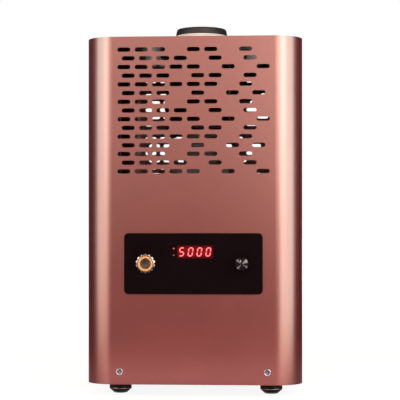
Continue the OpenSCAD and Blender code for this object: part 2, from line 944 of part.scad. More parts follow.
module ceramic_sleeve() {
    color([0.93, 0.91, 0.9]) at_case() difference() {
        translate([0, 0, base_board_top]) cylinder(r = sleeve_r, h = sleeve_top - base_board_top, $fn = 96);
        translate([0, 0, base_board_top + sleeve_floor])
            cylinder(r = sleeve_in_r, h = sleeve_top - base_board_top, $fn = 96);
    }
}

module coil_lining() {
    color([0.1, 0.1, 0.11]) at_case() translate([0, 0, base_board_top])
        tube(lining_r, lining_in_r, coil_h + 2 * loose, $fn = 96);
}

// Tube swept along a list of points; the ring's sides keep their place from ring to ring
function unit(v) = v / norm(v);
function tangent_at(pts, i) = unit(pts[min(i + 1, len(pts) - 1)] - pts[max(i - 1, 0)]);
function flattened(v, t) = unit(v - (v * t) * t);
function sweep_normals(pts, start) = [
    for (i = 0, n = flattened(start, tangent_at(pts, 0)); i < len(pts);
        i = i + 1, n = i < len(pts) ? flattened(n, tangent_at(pts, i)) : n) n
];
function sweep_points(pts, r, sides, start) = let (ns = sweep_normals(pts, start)) [
    for (i = [0 : len(pts) - 1]) let (t = tangent_at(pts, i), n = ns[i], b = cross(t, n))
        for (s = [0 : sides - 1]) pts[i] + r * (cos(s * 360 / sides) * n + sin(s * 360 / sides) * b)
];
function sweep_faces(rings, sides) = concat(
    [for (i = [0 : rings - 2]) for (s = [0 : sides - 1])
        let (a = i * sides, b = a + sides, s2 = (s + 1) % sides) [a + s, b + s, a + s2]],
    [for (i = [0 : rings - 2]) for (s = [0 : sides - 1])
        let (a = i * sides, b = a + sides, s2 = (s + 1) % sides) [b + s, b + s2, a + s2]],
    [for (s = [1 : sides - 2]) [0, s, s + 1]],
    [for (s = [1 : sides - 2]) let (a = (rings - 1) * sides) [a, a + s + 1, a + s]]
);

module swept_tube(pts, r, sides, start) {
    polyhedron(points = sweep_points(pts, r, sides, start), faces = sweep_faces(len(pts), sides));
}

// Path of the coil: up from one busbar, round the lining and down to the other busbar
coil_z0 = coil_bottom_z + tube_r;
coil_z1 = coil_z0 + coil_turns * coil_pitch;
coil_rings = 24;
coil_steps = coil_turns * coil_rings;
lead_bend = 8;
lead_steps = 6;
coil_loops = [for (i = [0 : coil_steps])
    let (angle = 90 + i * 360 / coil_rings, z = coil_z0 + (coil_z1 - coil_z0) * i / coil_steps)
    [coil_r * cos(angle), coil_r * sin(angle), z]];
function curve(a, b, c, d, t) =
    pow(1 - t, 3) * a + 3 * t * pow(1 - t, 2) * b + 3 * t * t * (1 - t) * c + t * t * t * d;
// Lead from the coil's end at height z: level out to the rear, then straight down to the busbar
function lead_out(side, z) = concat(
    [for (i = [1 : lead_steps]) curve(
        [0, coil_r, z], [side * lead_x / 2, coil_r, z],
        [side * lead_x, coil_r + 1, z], [side * lead_x, lead_y - lead_bend, z],
        i / lead_steps)],
    [for (a = [30 : 30 : 90])
        [side * lead_x, lead_y - lead_bend * (1 - sin(a)), z - lead_bend * (1 - cos(a))]],
    [[side * lead_x, lead_y, bar_top + coil_tube_d], [side * lead_x, lead_y, bar_top]]
);
function backwards(list) = [for (i = [len(list) - 1 : -1 : 0]) list[i]];
coil_path = concat(backwards(lead_out(1, coil_z0)), coil_loops, lead_out(-1, coil_z1));
function least_gap(pts, apart, r) = min([for (i = [0 : len(pts) - 1 - apart])
    min([for (j = [i + apart : len(pts) - 1]) norm(pts[i] - pts[j])])]) - 2 * r;
coil_gap = least_gap(coil_path, coil_rings / 2, tube_r);
echo(str("least gap of the coil to itself, mm: ", coil_gap));

module induction_coil() {
    color([0.12, 0.1, 0.1]) at_case() swept_tube(coil_path, tube_r, 6, [0, 1, 0]);
}

module rod_places() {
    for (x = [-rod_xy, rod_xy]) for (y = [-rod_xy, rod_xy]) translate([x, y, 0]) children();
}

module coil_base_board() {
    color([0.09, 0.09, 0.1]) at_case() difference() {
        translate([-board_half, -board_half, base_board_z]) cube([2 * board_half, 2 * board_half, board_t]);
        rod_places() translate([0, 0, base_board_z - cut_over])
            cylinder(r = rod_r + slip, h = board_t + 2 * cut_over);
    }
}

module coil_top_board() {
    color([0.09, 0.09, 0.1]) at_case() difference() {
        translate([-board_half, -board_half, top_z - board_t])
            cube([2 * board_half, 2 * board_half, board_t]);
        translate([0, 0, top_z - board_t - cut_over]) {
            cylinder(r = sleeve_r + loose, h = board_t + 2 * cut_over);
            rod_places() cylinder(r = rod_r + slip, h = board_t + 2 * cut_over);
        }
        top_screw_places() drill();
    }
}

module tie_rods() {
    past_nut = 2;
    rod_z = base_board_z - rod_nut_t - past_nut;
    color([0.35, 0.35, 0.36]) at_case() rod_places() {
        translate([0, 0, rod_z]) cylinder(r = rod_r, h = top_z - rod_z);
        for (z = [base_board_z - rod_nut_t, top_z - board_t - rod_nut_t])
            translate([0, 0, z]) hex_nut(rod_nut_r, rod_r - slip, rod_nut_t);
    }
}

// Screws that hold the top board up against the top plate
module top_screw_places() {
    for (turn = [0 : 90 : 270]) rotate([0, 0, turn])
        translate([(sleeve_r + board_half) / 2, 0, case_h]) children();
}

module top_screws() {
    color([0.6, 0.6, 0.6]) at_case() top_screw_places() countersunk_screw();
}

module pedestal() {
    color([0.55, 0.55, 0.54]) at_case() translate([0, 0, block_top])
        cylinder(r = pedestal_r, h = base_board_z - block_top);
}

module stand_block() {
    color([0.6, 0.6, 0.6]) at_case() translate([-block_w / 2, -block_w / 2, deck_top])
        cube([block_w, block_w, block_h]);
}

// Bolts through each busbar, from the capacitor's inner edge
bolt_xs = [cap_x + 12, cap_x + 33];
bolt_r = 3;

module bolt_places() {
    each_side() for (x = bolt_xs) translate([x, lead_y, bar_top]) children();
}

module resonant_capacitors() {
    color([0.85, 0.8, 0.65]) at_case() difference() {
        each_side() translate([cap_x, cap_y, deck_top]) cube(cap_box);
        bolt_places() translate([0, 0, -bar_t - bolt_depth - 1])
            cylinder(r = bolt_r + slip, h = bolt_depth + 1 + cut_over);
    }
}

module busbars() {
    color([0.72, 0.42, 0.25]) at_case() difference() {
        each_side() translate([lead_x - bar_w / 2, lead_y - bar_w / 2, bar_top - bar_t])
            cube([post_x + 6 - lead_x + bar_w / 2, bar_w, bar_t]);
        bolt_places() translate([0, 0, -bar_t - cut_over])
            cylinder(r = bolt_r + slip, h = bar_t + 2 * cut_over);
    }
}

module busbar_bolts() {
    color([0.7, 0.7, 0.7]) at_case() bolt_places() {
        translate([0, 0, -bar_t - bolt_depth]) cylinder(r = bolt_r, h = bar_t + bolt_depth + 0.5);
        cylinder(r = bolt_r * 1.9, h = bolt_head_h, $fn = 6);
    }
}

// Leads from the busbars down to the power board: one straight, one round the choke
board_top = board_z + board_thick;
right_end_x = board_x + board_w - 5;
lead_turn = 30;
left_lead = [[-post_x, lead_y, board_top], [-post_x, lead_y, bar_top - bar_t]];
right_lead = concat(
    [[right_end_x, lead_y, board_top]],
    [for (i = [0 : lead_steps]) curve(
        [right_end_x, lead_y, board_top + 8], [right_end_x, lead_y, board_top + 20],
        [right_end_x + 8, lead_y, board_top + lead_turn], [right_end_x + 26, lead_y, board_top + lead_turn],
        i / lead_steps)],
    [for (i = [0 : lead_steps]) curve(
        [post_x - lead_turn, lead_y, board_top + lead_turn], [post_x - 10, lead_y, board_top + lead_turn],
        [post_x, lead_y, board_top + lead_turn + 10], [post_x, lead_y, board_top + 2 * lead_turn],
        i / lead_steps)],
    [[post_x, lead_y, bar_top - bar_t]]
);

module power_leads() {
    color([0.5, 0.05, 0.04]) at_case() {
        swept_tube(left_lead, power_lead_r, 12, [1, 0, 0]);
        swept_tube(right_lead, power_lead_r, 12, [0, 1, 0]);
    }
}

module spacer_places() {
    for (x = [board_x + 5, board_x + board_w - 12]) for (y = [board_y + 5, board_y + board_len - 5])
        translate([x, y, tray_top]) children();
}

module power_board() {
    color([0.05, 0.28, 0.12]) at_case() difference() {
        translate([board_x, board_y, board_z]) cube([board_w, board_len, board_thick]);
        spacer_places() cylinder(r = board_hole_r, h = board_z + board_thick);
    }
}

module board_spacers() {
    spacer_h = board_z - tray_top;
    color([0.75, 0.62, 0.3]) at_case() spacer_places() {
        cylinder(r = 3, h = spacer_h, $fn = 6);
        translate([0, 0, spacer_h]) board_screw();
    }
}

sink_x = board_x + board_w / 2;
sink_y = board_y + 10;
module_y = board_y + 12;

module power_modules() {
    between = 8;
    color([0.13, 0.13, 0.14]) at_case() for (x = [sink_x - module_w - between / 2, sink_x + between / 2])
        translate([x, module_y, board_top]) cube([module_w, module_len, module_h]);
}

module rectifier_bridge() {
    bridge_w = 28;
    behind = 8;
    color([0.13, 0.13, 0.14]) at_case()
        translate([sink_x - bridge_w / 2, module_y + module_len + behind, board_top])
            cube([bridge_w, bridge_w, module_h]);
}

module heat_sink() {
    sink_len = board_len - 12;
    fin_pitch = (sink_w - fin_t) / (fin_count - 1);
    color([0.75, 0.75, 0.77]) at_case() translate([sink_x - sink_w / 2, sink_y, sink_z]) {
        cube([sink_w, sink_len, sink_base]);
        for (i = [0 : fin_count - 1]) translate([i * fin_pitch, 0, sink_base - fold_root])
            cube([fin_t, sink_len, sink_h - sink_base + fold_root]);
    }
}

module filter_capacitors() {
    rim = 1.5;
    color([0.1, 0.12, 0.35]) at_case() for (y = can_ys) translate([can_x, y, tray_top]) {
        cylinder(r = can_r - rim, h = can_h);
        translate([0, 0, rim]) cylinder(r = can_r, h = can_h - 2 * rim);
        for (x = [-2, 2]) translate([x * can_terminal_r, 0, can_h - fold_root])
            cylinder(r = can_terminal_r, h = 6);
    }
}

module filter_choke() {
    color([0.25, 0.26, 0.2]) at_case() translate([can_x, choke_y, tray_top])
        tube(choke_r, choke_in_r, choke_h);
}

module fan_hole_places() {
    for (x = [-1, 1]) for (y = [-1, 1])
        translate([x * fan_hole_pitch / 2, y * fan_hole_pitch / 2, 0]) children();
}

module fan_frame() {
    motor_r = 20;
    strut_w = 6;
    bearing_r = 5;
    color([0.08, 0.08, 0.08]) at_case() facing_rear(fan_x, fan_front, fan_z) difference() {
        union() {
            difference() {
                linear_extrude(fan_t) rounded_2d(fan_w, fan_w, 7);
                translate([0, 0, -cut_over]) {
                    cylinder(r = fan_bore_r, h = fan_t + 2 * cut_over);
                    fan_hole_places() cylinder(r = screw_hole_r, h = fan_t + 2 * cut_over);
                }
            }
            cylinder(r = motor_r, h = strut_t);
            for (turn = [30 : 120 : 270]) rotate([0, 0, turn])
                translate([motor_r - 2, -strut_w / 2, 0])
                    cube([fan_bore_r - motor_r + 3, strut_w, strut_t]);
            cylinder(r = bearing_r, h = bearing_len);
        }
        translate([0, 0, -cut_over]) cylinder(r = axle_r + running, h = fan_t);
    }
}

module fan_rotor() {
    chord = 24;
    blade_t = 1.6;
    pitch_angle = 35;
    bearing_clear_r = 5.6;
    tip_gap = 2.5;
    root = 1.5;
    axle_gap = 1;
    color([0.1, 0.1, 0.1]) at_case() facing_rear(fan_x, fan_front, fan_z) {
        difference() {
            union() {
                translate([0, 0, strut_t + 0.5]) cylinder(r = hub_r, h = fan_t - strut_t - 3.5);
                for (i = [0 : blade_count - 1]) rotate([0, 0, i * 360 / blade_count])
                    translate([hub_r - root, 0, fan_t / 2]) rotate([pitch_angle, 0, 0])
                        translate([0, -chord / 2, -blade_t / 2])
                            cube([fan_bore_r - tip_gap - hub_r + root, chord, blade_t]);
            }
            cylinder(r = bearing_clear_r, h = hub_cap_z);
        }
        translate([0, 0, axle_gap]) cylinder(r = axle_r, h = hub_cap_z);
    }
}

module fan_screws() {
    grip = 14;
    color([0.6, 0.6, 0.6]) at_case() facing_rear(fan_x, rear_y, fan_z) fan_hole_places() {
        translate([0, 0, -grip]) cylinder(r = screw_r, h = grip + join);
        pan_head();
    }
}

module breaker_body() {
    half = breaker_w / 2;
    well_front = lever_y - lever_hub_r - 1;
    color([0.85, 0.85, 0.83]) at_case() translate([breaker_x, 0, breaker_z]) difference() {
        union() {
            translate([-half, breaker_front, -breaker_h / 2])
                cube([breaker_w, breaker_shoulder - breaker_front, breaker_h]);
            translate([-half, breaker_shoulder - fold_root, -nose_half])
                cube([breaker_w, nose_rear - breaker_shoulder + fold_root, 2 * nose_half]);
        }
        translate([-half + cheek_t, well_front, nose_wall - nose_half])
            cube([breaker_w - 2 * cheek_t, nose_rear - well_front + cut_over, 2 * (nose_half - nose_wall)]);
        translate([-half + lever_pin_seat, lever_y, 0]) rotate([0, 90, 0])
            cylinder(r = lever_pin_r + running, h = breaker_w - 2 * lever_pin_seat);
    }
}

module breaker_lever() {
    half = breaker_w / 2 - cheek_t - loose;
    pin_half = breaker_w / 2 - lever_pin_seat - loose;
    bar_half = half - 2;
    color([0.1, 0.25, 0.6]) at_case() translate([breaker_x, lever_y, breaker_z]) {
        rotate([0, 90, 0]) cylinder(r = lever_hub_r, h = 2 * half, center = true);
        rotate([0, 90, 0]) cylinder(r = lever_pin_r, h = 2 * pin_half, center = true);
        rotate([lever_swing / 2, 0, 0]) translate([-bar_half, 0, -lever_t / 2])
            cube([2 * bar_half, lever_len, lever_t]);
    }
}

module cable_gland() {
    color([0.09, 0.09, 0.1]) at_case() facing_rear(breaker_x, rear_y, gland_z) difference() {
        union() {
            cylinder(r = gland_body_r + gland_hex, h = gland_flange_t, $fn = 6);
            translate([0, 0, -gland_thread_len]) cylinder(r = gland_body_r, h = gland_thread_len + 1);
        }
        translate([0, 0, -gland_thread_len - cut_over])
            cylinder(r = gland_bore_d / 2 + 1, h = gland_thread_len + gland_flange_t + 2 * cut_over);
    }
}

module gland_cap() {
    grip_len = gland_cap_len * 0.6;
    nose_len = gland_cap_len - grip_len;
    cap_y = rear_y + gland_flange_t;
    color([0.09, 0.09, 0.1]) at_case() facing_rear(breaker_x, cap_y, gland_z) difference() {
        union() {
            cylinder(r = gland_body_r + gland_hex - 0.6, h = grip_len, $fn = 6);
            translate([0, 0, grip_len - join])
                cylinder(r1 = gland_body_r + 0.5, r2 = gland_body_r - 2, h = nose_len + join);
        }
        translate([0, 0, -cut_over]) cylinder(r = gland_bore_d / 2, h = gland_cap_len + 2 * cut_over);
    }
}

module gland_locknut() {
    nut_t = 5;
    nut_wall = 5;
    color([0.09, 0.09, 0.1]) at_case() facing_front(breaker_x, in_rear_y, gland_z)
        hex_nut(gland_body_r + nut_wall, gland_body_r + running, nut_t);
}

module earth_stud() {
    flange_t = 2;
    flange_w = 3.5;
    nut_t = 4;
    past_nut = 4;
    inside = sheet_t + nut_t + past_nut;
    r = earth_d / 2;
    color([0.8, 0.68, 0.35]) at_case() facing_rear(earth_x, rear_y, gland_z) {
        cylinder(r = r + flange_w, h = flange_t);
        translate([0, 0, -inside]) cylinder(r = r, h = inside + flange_t + earth_free);
        translate([0, 0, -sheet_t - nut_t]) hex_nut(r * 1.85, r - slip, nut_t);
    }
}

front_shell();
rear_cover();
top_plate();
base_tray();
side_rails();
equipment_deck();
rubber_feet();
foot_screws();
front_screws();
side_screws();
rear_screws();
control_plate();
display_window();
display_digits();
display_block();
indicator_lamps();
display_board();
board_standoffs();
button_bezel();
button_light_ring();
button_cap();
button_switch();
button_nut();
power_knob();
knob_pointer();
knob_shaft();
potentiometer();
potentiometer_nut();
crucible();
ceramic_sleeve();
coil_lining();
induction_coil();
coil_base_board();
coil_top_board();
tie_rods();
top_screws();
pedestal();
stand_block();
resonant_capacitors();
busbars();
busbar_bolts();
power_board();
board_spacers();
power_modules();
rectifier_bridge();
heat_sink();
filter_capacitors();
filter_choke();
power_leads();
fan_frame();
fan_rotor();
fan_screws();
breaker_body();
breaker_lever();
cable_gland();
gland_cap();
gland_locknut();
earth_stud();
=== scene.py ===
# %% [markdown]
# # Electric gold melting furnace
# A tabletop induction furnace: a folded and punched sheet case, sand-blasted and coloured copper
# red, with a black control plate, rubber feet and a graphite crucible in a white ceramic sleeve.
# The CAD model gives every size and every joint. This script gives the same parts their finish.

# %% Load the fixed frame
import bpy
import json
import math
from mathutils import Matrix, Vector

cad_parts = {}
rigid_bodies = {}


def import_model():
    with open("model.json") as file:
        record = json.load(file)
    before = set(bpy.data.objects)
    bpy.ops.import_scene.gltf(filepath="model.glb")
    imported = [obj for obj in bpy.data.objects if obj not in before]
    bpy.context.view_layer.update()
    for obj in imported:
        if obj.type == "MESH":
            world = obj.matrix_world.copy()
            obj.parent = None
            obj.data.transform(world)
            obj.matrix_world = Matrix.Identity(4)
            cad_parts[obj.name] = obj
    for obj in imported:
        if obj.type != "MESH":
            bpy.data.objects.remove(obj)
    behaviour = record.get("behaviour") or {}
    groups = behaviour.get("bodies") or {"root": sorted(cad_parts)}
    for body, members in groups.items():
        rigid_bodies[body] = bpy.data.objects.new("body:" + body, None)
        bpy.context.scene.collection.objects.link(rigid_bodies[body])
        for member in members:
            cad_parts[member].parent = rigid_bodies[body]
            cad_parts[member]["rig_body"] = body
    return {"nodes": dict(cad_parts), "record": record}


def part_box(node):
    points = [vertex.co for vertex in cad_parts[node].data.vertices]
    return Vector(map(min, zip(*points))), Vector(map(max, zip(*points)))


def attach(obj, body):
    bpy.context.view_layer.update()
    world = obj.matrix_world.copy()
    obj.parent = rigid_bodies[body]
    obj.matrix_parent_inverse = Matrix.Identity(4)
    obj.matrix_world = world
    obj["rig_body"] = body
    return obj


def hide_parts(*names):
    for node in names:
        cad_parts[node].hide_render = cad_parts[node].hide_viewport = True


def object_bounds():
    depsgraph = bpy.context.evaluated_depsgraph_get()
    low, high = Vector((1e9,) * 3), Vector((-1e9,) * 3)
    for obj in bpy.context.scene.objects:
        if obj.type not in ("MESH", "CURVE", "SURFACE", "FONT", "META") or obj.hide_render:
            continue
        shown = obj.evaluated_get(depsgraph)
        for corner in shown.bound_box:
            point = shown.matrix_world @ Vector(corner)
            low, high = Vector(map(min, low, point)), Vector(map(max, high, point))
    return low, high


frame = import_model()
cad_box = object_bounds()
nodes = frame["nodes"]
print("nodes:", len(nodes), "height in mm:", round((cad_box[1].z - cad_box[0].z) * 1000, 1))

# %% [markdown]
# ## Lengths and directions
# Blender counts in metres and a maker in millimetres, so one name turns the first into the second.
# A piece that is turned on the Z axis is tipped at the end to face the way it does on the furnace.

# %% Lengths and directions
mm = 0.001
FRONT = (math.radians(90), 0, 0)
REAR = (math.radians(-90), 0, 0)
RIGHT = (0, math.radians(90), 0)
LEFT = (0, math.radians(-90), 0)
UP = (0, 0, 0)
print("width in mm:", round((cad_box[1].x - cad_box[0].x) / mm, 1))

# %% [markdown]
# ## Camera
# The photograph was taken with a long lens from a little right of the middle, level, and at the
# height of the lower third of the case. A small vertical shift keeps the upright edges upright.

# %% Camera
eye = (0.1009, -1.7041, 0.1872)
turn_to_left = 0.0604
bpy.ops.object.select_all(action="DESELECT")
bpy.ops.object.camera_add(location=eye, rotation=(math.radians(90), 0, turn_to_left))
camera = bpy.context.active_object
camera.name = "photo_camera"
camera.data.lens = 121.24
camera.data.sensor_width = 36
camera.data.shift_y = 0.0846
bpy.context.scene.camera = camera
print("camera distance in m:", round(camera.location.length, 2))

# %% [markdown]
# ## Nodes
# The room, the cards and every finish are made of nodes. Nodes can be wired by hand in the shader
# editor; in a script, one function that adds a node and fills its sockets does the same. Anything
# that is to look white without lighting the object asks first how it is being looked at.

# %% Adding nodes
scene = bpy.context.scene
scene.view_settings.view_transform = "Standard"


def node_adder(tree):
    """A function that adds a node to this tree and sets its sockets, or links them."""

    def add(kind, sockets=(), **settings):
        node = tree.nodes.new("ShaderNode" + kind)
        for key, value in settings.items():
            setattr(node, key, value)
        for key, value in dict(sockets).items():
            if isinstance(value, bpy.types.NodeSocket):
                tree.links.new(value, node.inputs[key])
            else:
                node.inputs[key].default_value = value
        return node

    return add


def new_nodes(material):
    """Clears a material's nodes, and gives a function that adds new ones."""
    material.use_nodes = True
    material.node_tree.nodes.clear()
    return node_adder(material.node_tree)


def seen_directly(add):
    """1 for camera, mirror and glass rays, 0 for light that only falls on something."""
    path = add("LightPath")
    seen = path.outputs["Is Camera Ray"]
    for ray in ("Is Glossy Ray", "Is Transmission Ray"):
        seen = add("Math", {0: seen, 1: path.outputs[ray]}, operation="MAXIMUM").outputs[0]
    return seen


print("view:", scene.view_settings.view_transform)

# %% [markdown]
# ## Room
# The picture has a white background and a pale floor that keeps the object's shadow. More light
# would make them white but would bleach the case too. So the room is white only where it is seen,
# less than half as bright in reflections, and gives a weak grey light to everything else.

# %% World
AMBIENT = (0.62, 0.60, 0.62, 1)
WHITE = (1, 1, 1, 1)
world = bpy.data.worlds.new("white_studio")
scene.world = world
add = new_nodes(world)
fill_light = add("Background", {"Color": AMBIENT, "Strength": 0.25})
path = add("LightPath")
room_level = add("MapRange", {"Value": path.outputs["Is Glossy Ray"], "To Min": 1.0, "To Max": 0.45})
white_room = add("Background", {"Color": WHITE, "Strength": room_level.outputs[0]})
either = add("MixShader", {0: seen_directly(add), 1: fill_light.outputs[0], 2: white_room.outputs[0]})
add("OutputWorld", {"Surface": either.outputs[0]})
print("world:", world.name)

# %% Floor
floor_side = 120
floor_paint = bpy.data.materials.new("floor_paint")
add = new_nodes(floor_paint)
bare = add("MixRGB", {0: seen_directly(add), 1: (0.5, 0.5, 0.5, 1), 2: (0.2, 0.2, 0.2, 1)})
matt = add("BsdfDiffuse", {"Color": bare.outputs[0]})
spot = add("TexCoord")
far = add("VectorMath", {0: spot.outputs["Object"]}, operation="LENGTH")
level = add("MapRange", {"Value": far.outputs["Value"], "From Min": 0.5, "From Max": 1.2,
                         "To Min": 0.9, "To Max": 1.0})
share = add("Math", {0: seen_directly(add), 1: level.outputs[0]}, operation="MULTIPLY")
glow = add("Emission", {"Color": WHITE, "Strength": share.outputs[0]})
mixed = add("AddShader", {0: matt.outputs[0], 1: glow.outputs[0]})
add("OutputMaterial", {"Surface": mixed.outputs[0]})

bpy.ops.mesh.primitive_plane_add(size=floor_side, location=(0, 0, 0))
floor = bpy.context.active_object
floor.name = "floor"
floor.data.materials.append(floor_paint)
print("floor:", floor_side, "m each way")

# %% [markdown]
# ## Cards
# The flat front is satin metal and mirrors what stands behind the camera and what lies on the floor
# before it. Only reflections see these cards. The three behind the camera are dark below and warm
# above, and brighter towards the sides, which gives the front its fall from pale copper at the top
# to deep red above the feet. The ones on the floor lift its lowest edge and the corners. Two dark
# flags beside the object keep the outermost edges dark, as a photographer's flags would.

# %% A card with a fade


def upright(start, end, low, high):
    """Size, middle and turn of an upright rectangle over the line from start to end, in metres."""
    run = Vector((end[0] - start[0], end[1] - start[1]))
    middle = ((start[0] + end[0]) / 2, (start[1] + end[1]) / 2, (low + high) / 2)
    return (run.length, high - low), middle, (math.radians(90), 0, math.atan2(run.y, run.x))


def card(name, size, at, turn, dark, light, fade, across=(0, 1, 1, 1), round_fade=False):
    """A card that only reflections see. It fades upwards, or outwards, over the stretch given in
    metres from its middle. across is the stretch from left to right and the brightness at its ends."""
    bpy.ops.object.select_all(action="DESELECT")
    bpy.ops.mesh.primitive_plane_add(size=1, location=at, rotation=turn)
    piece = bpy.context.active_object
    piece.name = name
    piece.scale = (size[0], size[1], 1)
    bpy.ops.object.transform_apply(location=False, rotation=False, scale=True)
    paint = bpy.data.materials.new(name + "_paint")
    add = new_nodes(paint)
    spot = add("TexCoord")
    split = add("SeparateXYZ", {0: spot.outputs["Object"]})
    reach = add("VectorMath", {0: spot.outputs["Object"]}, operation="LENGTH")
    along = reach.outputs["Value"] if round_fade else split.outputs["Y"]
    fading = add("MapRange", {"Value": along, "From Min": fade[0], "From Max": fade[1]},
                 interpolation_type="SMOOTHSTEP")
    tint = add("MixRGB", {0: fading.outputs[0], 1: (*dark, 1), 2: (*light, 1)})
    aside = add("MapRange", {"Value": split.outputs["X"], "From Min": across[0], "From Max": across[1],
                             "To Min": across[2], "To Max": across[3]}, interpolation_type="SMOOTHSTEP")
    shine = add("Emission", {"Color": tint.outputs[0], "Strength": aside.outputs[0]})
    add("OutputMaterial", {"Surface": shine.outputs[0]})
    piece.data.materials.append(paint)
    piece.visible_camera = False
    piece.visible_diffuse = False
    piece.visible_shadow = False
    piece.visible_transmission = False
    print(name, [round(side, 2) for side in size], "m")


print("a card 3 m wide and 2 m high:", upright((0, 0), (3, 0), 0, 2)[0])

# %% Placing the cards
BLACK = (0.0, 0.0, 0.0)
DUSK = (0.12, 0.07, 0.1)
SUNSET = (1.06, 0.67, 0.54)
PALE = (0.8, 0.66, 0.62)
ROSE = (0.22, 0.15, 0.15)
GLOW = (2.2, 1.05, 0.72)
wall_y, wall_top = -2.6, 3
EVEN = (-1, 1)

for name, left, right, fade, across in (
        ("card_behind_left", -2.6, -0.35, (-1.36, -0.9), (0.375, 1.125, 3.3, 1)),
        ("card_behind_camera", -0.35, -0.05, (-1.32, -0.72), (0, 1, 1, 1)),
        ("card_behind_right", -0.05, 2.8, (-1.4, -0.9), (-1.425, -0.775, 1, 5.5))):
    card(name, *upright((left, wall_y), (right, wall_y), 0, wall_top), BLACK, SUNSET, fade, across)
card("floor_glint", (0.5, 0.16), (0, -0.34, 0.003), UP, PALE, PALE, EVEN)
card("card_on_floor", (5.0, 5.0), (0, 0, 0.002), UP, ROSE, BLACK, (0.2, 0.6), round_fade=True)
for name, size, at, turn in (("bounce_left", (0.5, 0.6), (-0.66, -0.62, 0.004), -45),
                             ("bounce_right", (0.45, 0.5), (0.48, -0.52, 0.004), 45)):
    card(name, size, at, (0, 0, math.radians(turn)), GLOW, GLOW, EVEN)
for name, start, end in (("flag_left", (-1.4, -0.1), (-0.5, 1.3)),
                         ("flag_right", (1.4, 0.0), (0.5, 1.3))):
    card(name, *upright(start, end, 0, 2), BLACK, DUSK, EVEN)

# %% [markdown]
# ## Lights
# Two tall softboxes beside the camera draw the bright bands down the rounded corners; each has a
# warmer lower half. A softbox above the camera and one overhead light the front and the top, a
# strip on the floor lights the feet from below, and three wide, weak ones keep the sides and the
# back from going dark when the object is looked at from there.

# %% Softboxes


def softbox(name, size, at, turn, radiance, colour=(1, 1, 1)):
    """A rectangular light. Its power goes with its area, so that its brightness is what is asked for."""
    bpy.ops.object.select_all(action="DESELECT")
    bpy.ops.object.light_add(type="AREA", location=at, rotation=turn)
    lamp = bpy.context.active_object
    lamp.name = name
    lamp.data.shape = "RECTANGLE"
    lamp.data.size, lamp.data.size_y = size
    lamp.data.energy = radiance * math.pi * size[0] * size[1]
    lamp.data.color = colour
    lamp.visible_camera = False
    return lamp


WARM = (1, 0.94, 0.8)
SIDE_WARM = (1, 0.72, 0.66)
left_edge = ((-1.176, -0.389), (-0.57, -1.15))
right_edge = ((0.333, -0.735), (0.718, -0.214))
for name, edge, low, high, radiance, colour in (
        ("softbox_left", left_edge, 0.33, 0.85, 3.1, WARM),
        ("softbox_left_low", left_edge, 0.02, 0.33, 3.0, (1, 0.68, 0.52)),
        ("softbox_right", right_edge, 0.25, 0.65, 3.4, WARM),
        ("softbox_right_low", right_edge, 0.02, 0.25, 3.3, (1, 0.84, 0.68))):
    softbox(name, *upright(*edge, low, high), radiance, colour)
softbox("softbox_front", (1.0, 0.4), (0, -0.78, 0.98), (math.radians(48), 0, 0), 1.95, (1, 0.92, 0.87))
bounce = softbox("bounce_strip", (0.3, 0.03), (0, -0.195, 0.004), (math.radians(180), 0, 0), 14.0, WARM)
bounce.visible_glossy = False
softbox("softbox_top", (1.2, 1.2), (0, 0.1, 1.9), UP, 0.8)
for name, edge, low, high, radiance in (
        ("softbox_behind", ((1.6, 2.0), (-1.6, 2.0)), 0.02, 1.45, 0.9),
        ("softbox_side_left", ((-1.6, 1.4), (-1.9, 0.4)), 0.1, 1.5, 2.0),
        ("softbox_side_right", ((1.9, 0.4), (1.6, 1.4)), 0.1, 1.5, 0.9)):
    softbox(name, *upright(*edge, low, high), radiance, SIDE_WARM)
print("lamps:", len(bpy.data.lights))

# %% [markdown]
# ## A way to write finishes
# No real surface is one flat colour. Each finish drifts between two colours over a coarse noise,
# its roughness drifts with it, and a fine noise gives it a grain to catch the light. All of it
# reads Object coordinates, so the pattern stays on the piece at its real size.

# %% The finish maker


def shade(red, green, blue):
    """Screen values from 0 to 255 as the linear colour that a shader wants."""
    def linear(value):
        value = value / 255
        return value / 12.92 if value <= 0.04045 else ((value + 0.055) / 1.055) ** 2.4
    return (linear(red), linear(green), linear(blue), 1)


finishes = {}


def shader_of(finish):
    return next(node for node in finish.node_tree.nodes if node.type == "BSDF_PRINCIPLED")


def new_finish(name, first, second, rough, patch, grain, depth, stretch=(1, 1, 1), **sockets):
    """Drifts from the first screen colour to the second over patches of this size. The roughness is a
    pair, and goes with the grain. Patch, grain and depth of the grain are in millimetres."""
    finish = bpy.data.materials.new(name)
    add = new_nodes(finish)
    spot = add("TexCoord")
    scaled = add("Mapping", {"Vector": spot.outputs["Object"], "Scale": stretch})
    patches = add("TexNoise", {"Vector": scaled.outputs[0], "Scale": 1 / (patch * mm), "Detail": 6.0,
                               "Roughness": 0.6})
    grains = add("TexNoise", {"Vector": scaled.outputs[0], "Scale": 1 / (grain * mm), "Detail": 3.0})
    drift = add("MapRange", {"Value": patches.outputs[0], "From Min": 0.3, "From Max": 0.7})
    tint = add("MixRGB", {0: drift.outputs[0], 1: shade(*first), 2: shade(*second)})
    speckle = add("MapRange", {"Value": grains.outputs[0], "From Min": 0.25, "From Max": 0.75,
                               "To Min": rough[0], "To Max": rough[1]})
    bump = add("Bump", {"Height": grains.outputs[0], "Distance": depth * mm, "Strength": 1.0})
    shader = add("BsdfPrincipled", {"Base Color": tint.outputs[0], "Roughness": speckle.outputs[0],
                                    "Normal": bump.outputs[0]})
    for key, value in sockets.items():
        shader.inputs[key.replace("_", " ")].default_value = value
    add("OutputMaterial", {"Surface": shader.outputs[0]})
    finishes[name] = finish
    return finish


print("a copper red as linear light:", [round(value, 3) for value in shade(105, 35, 35)])

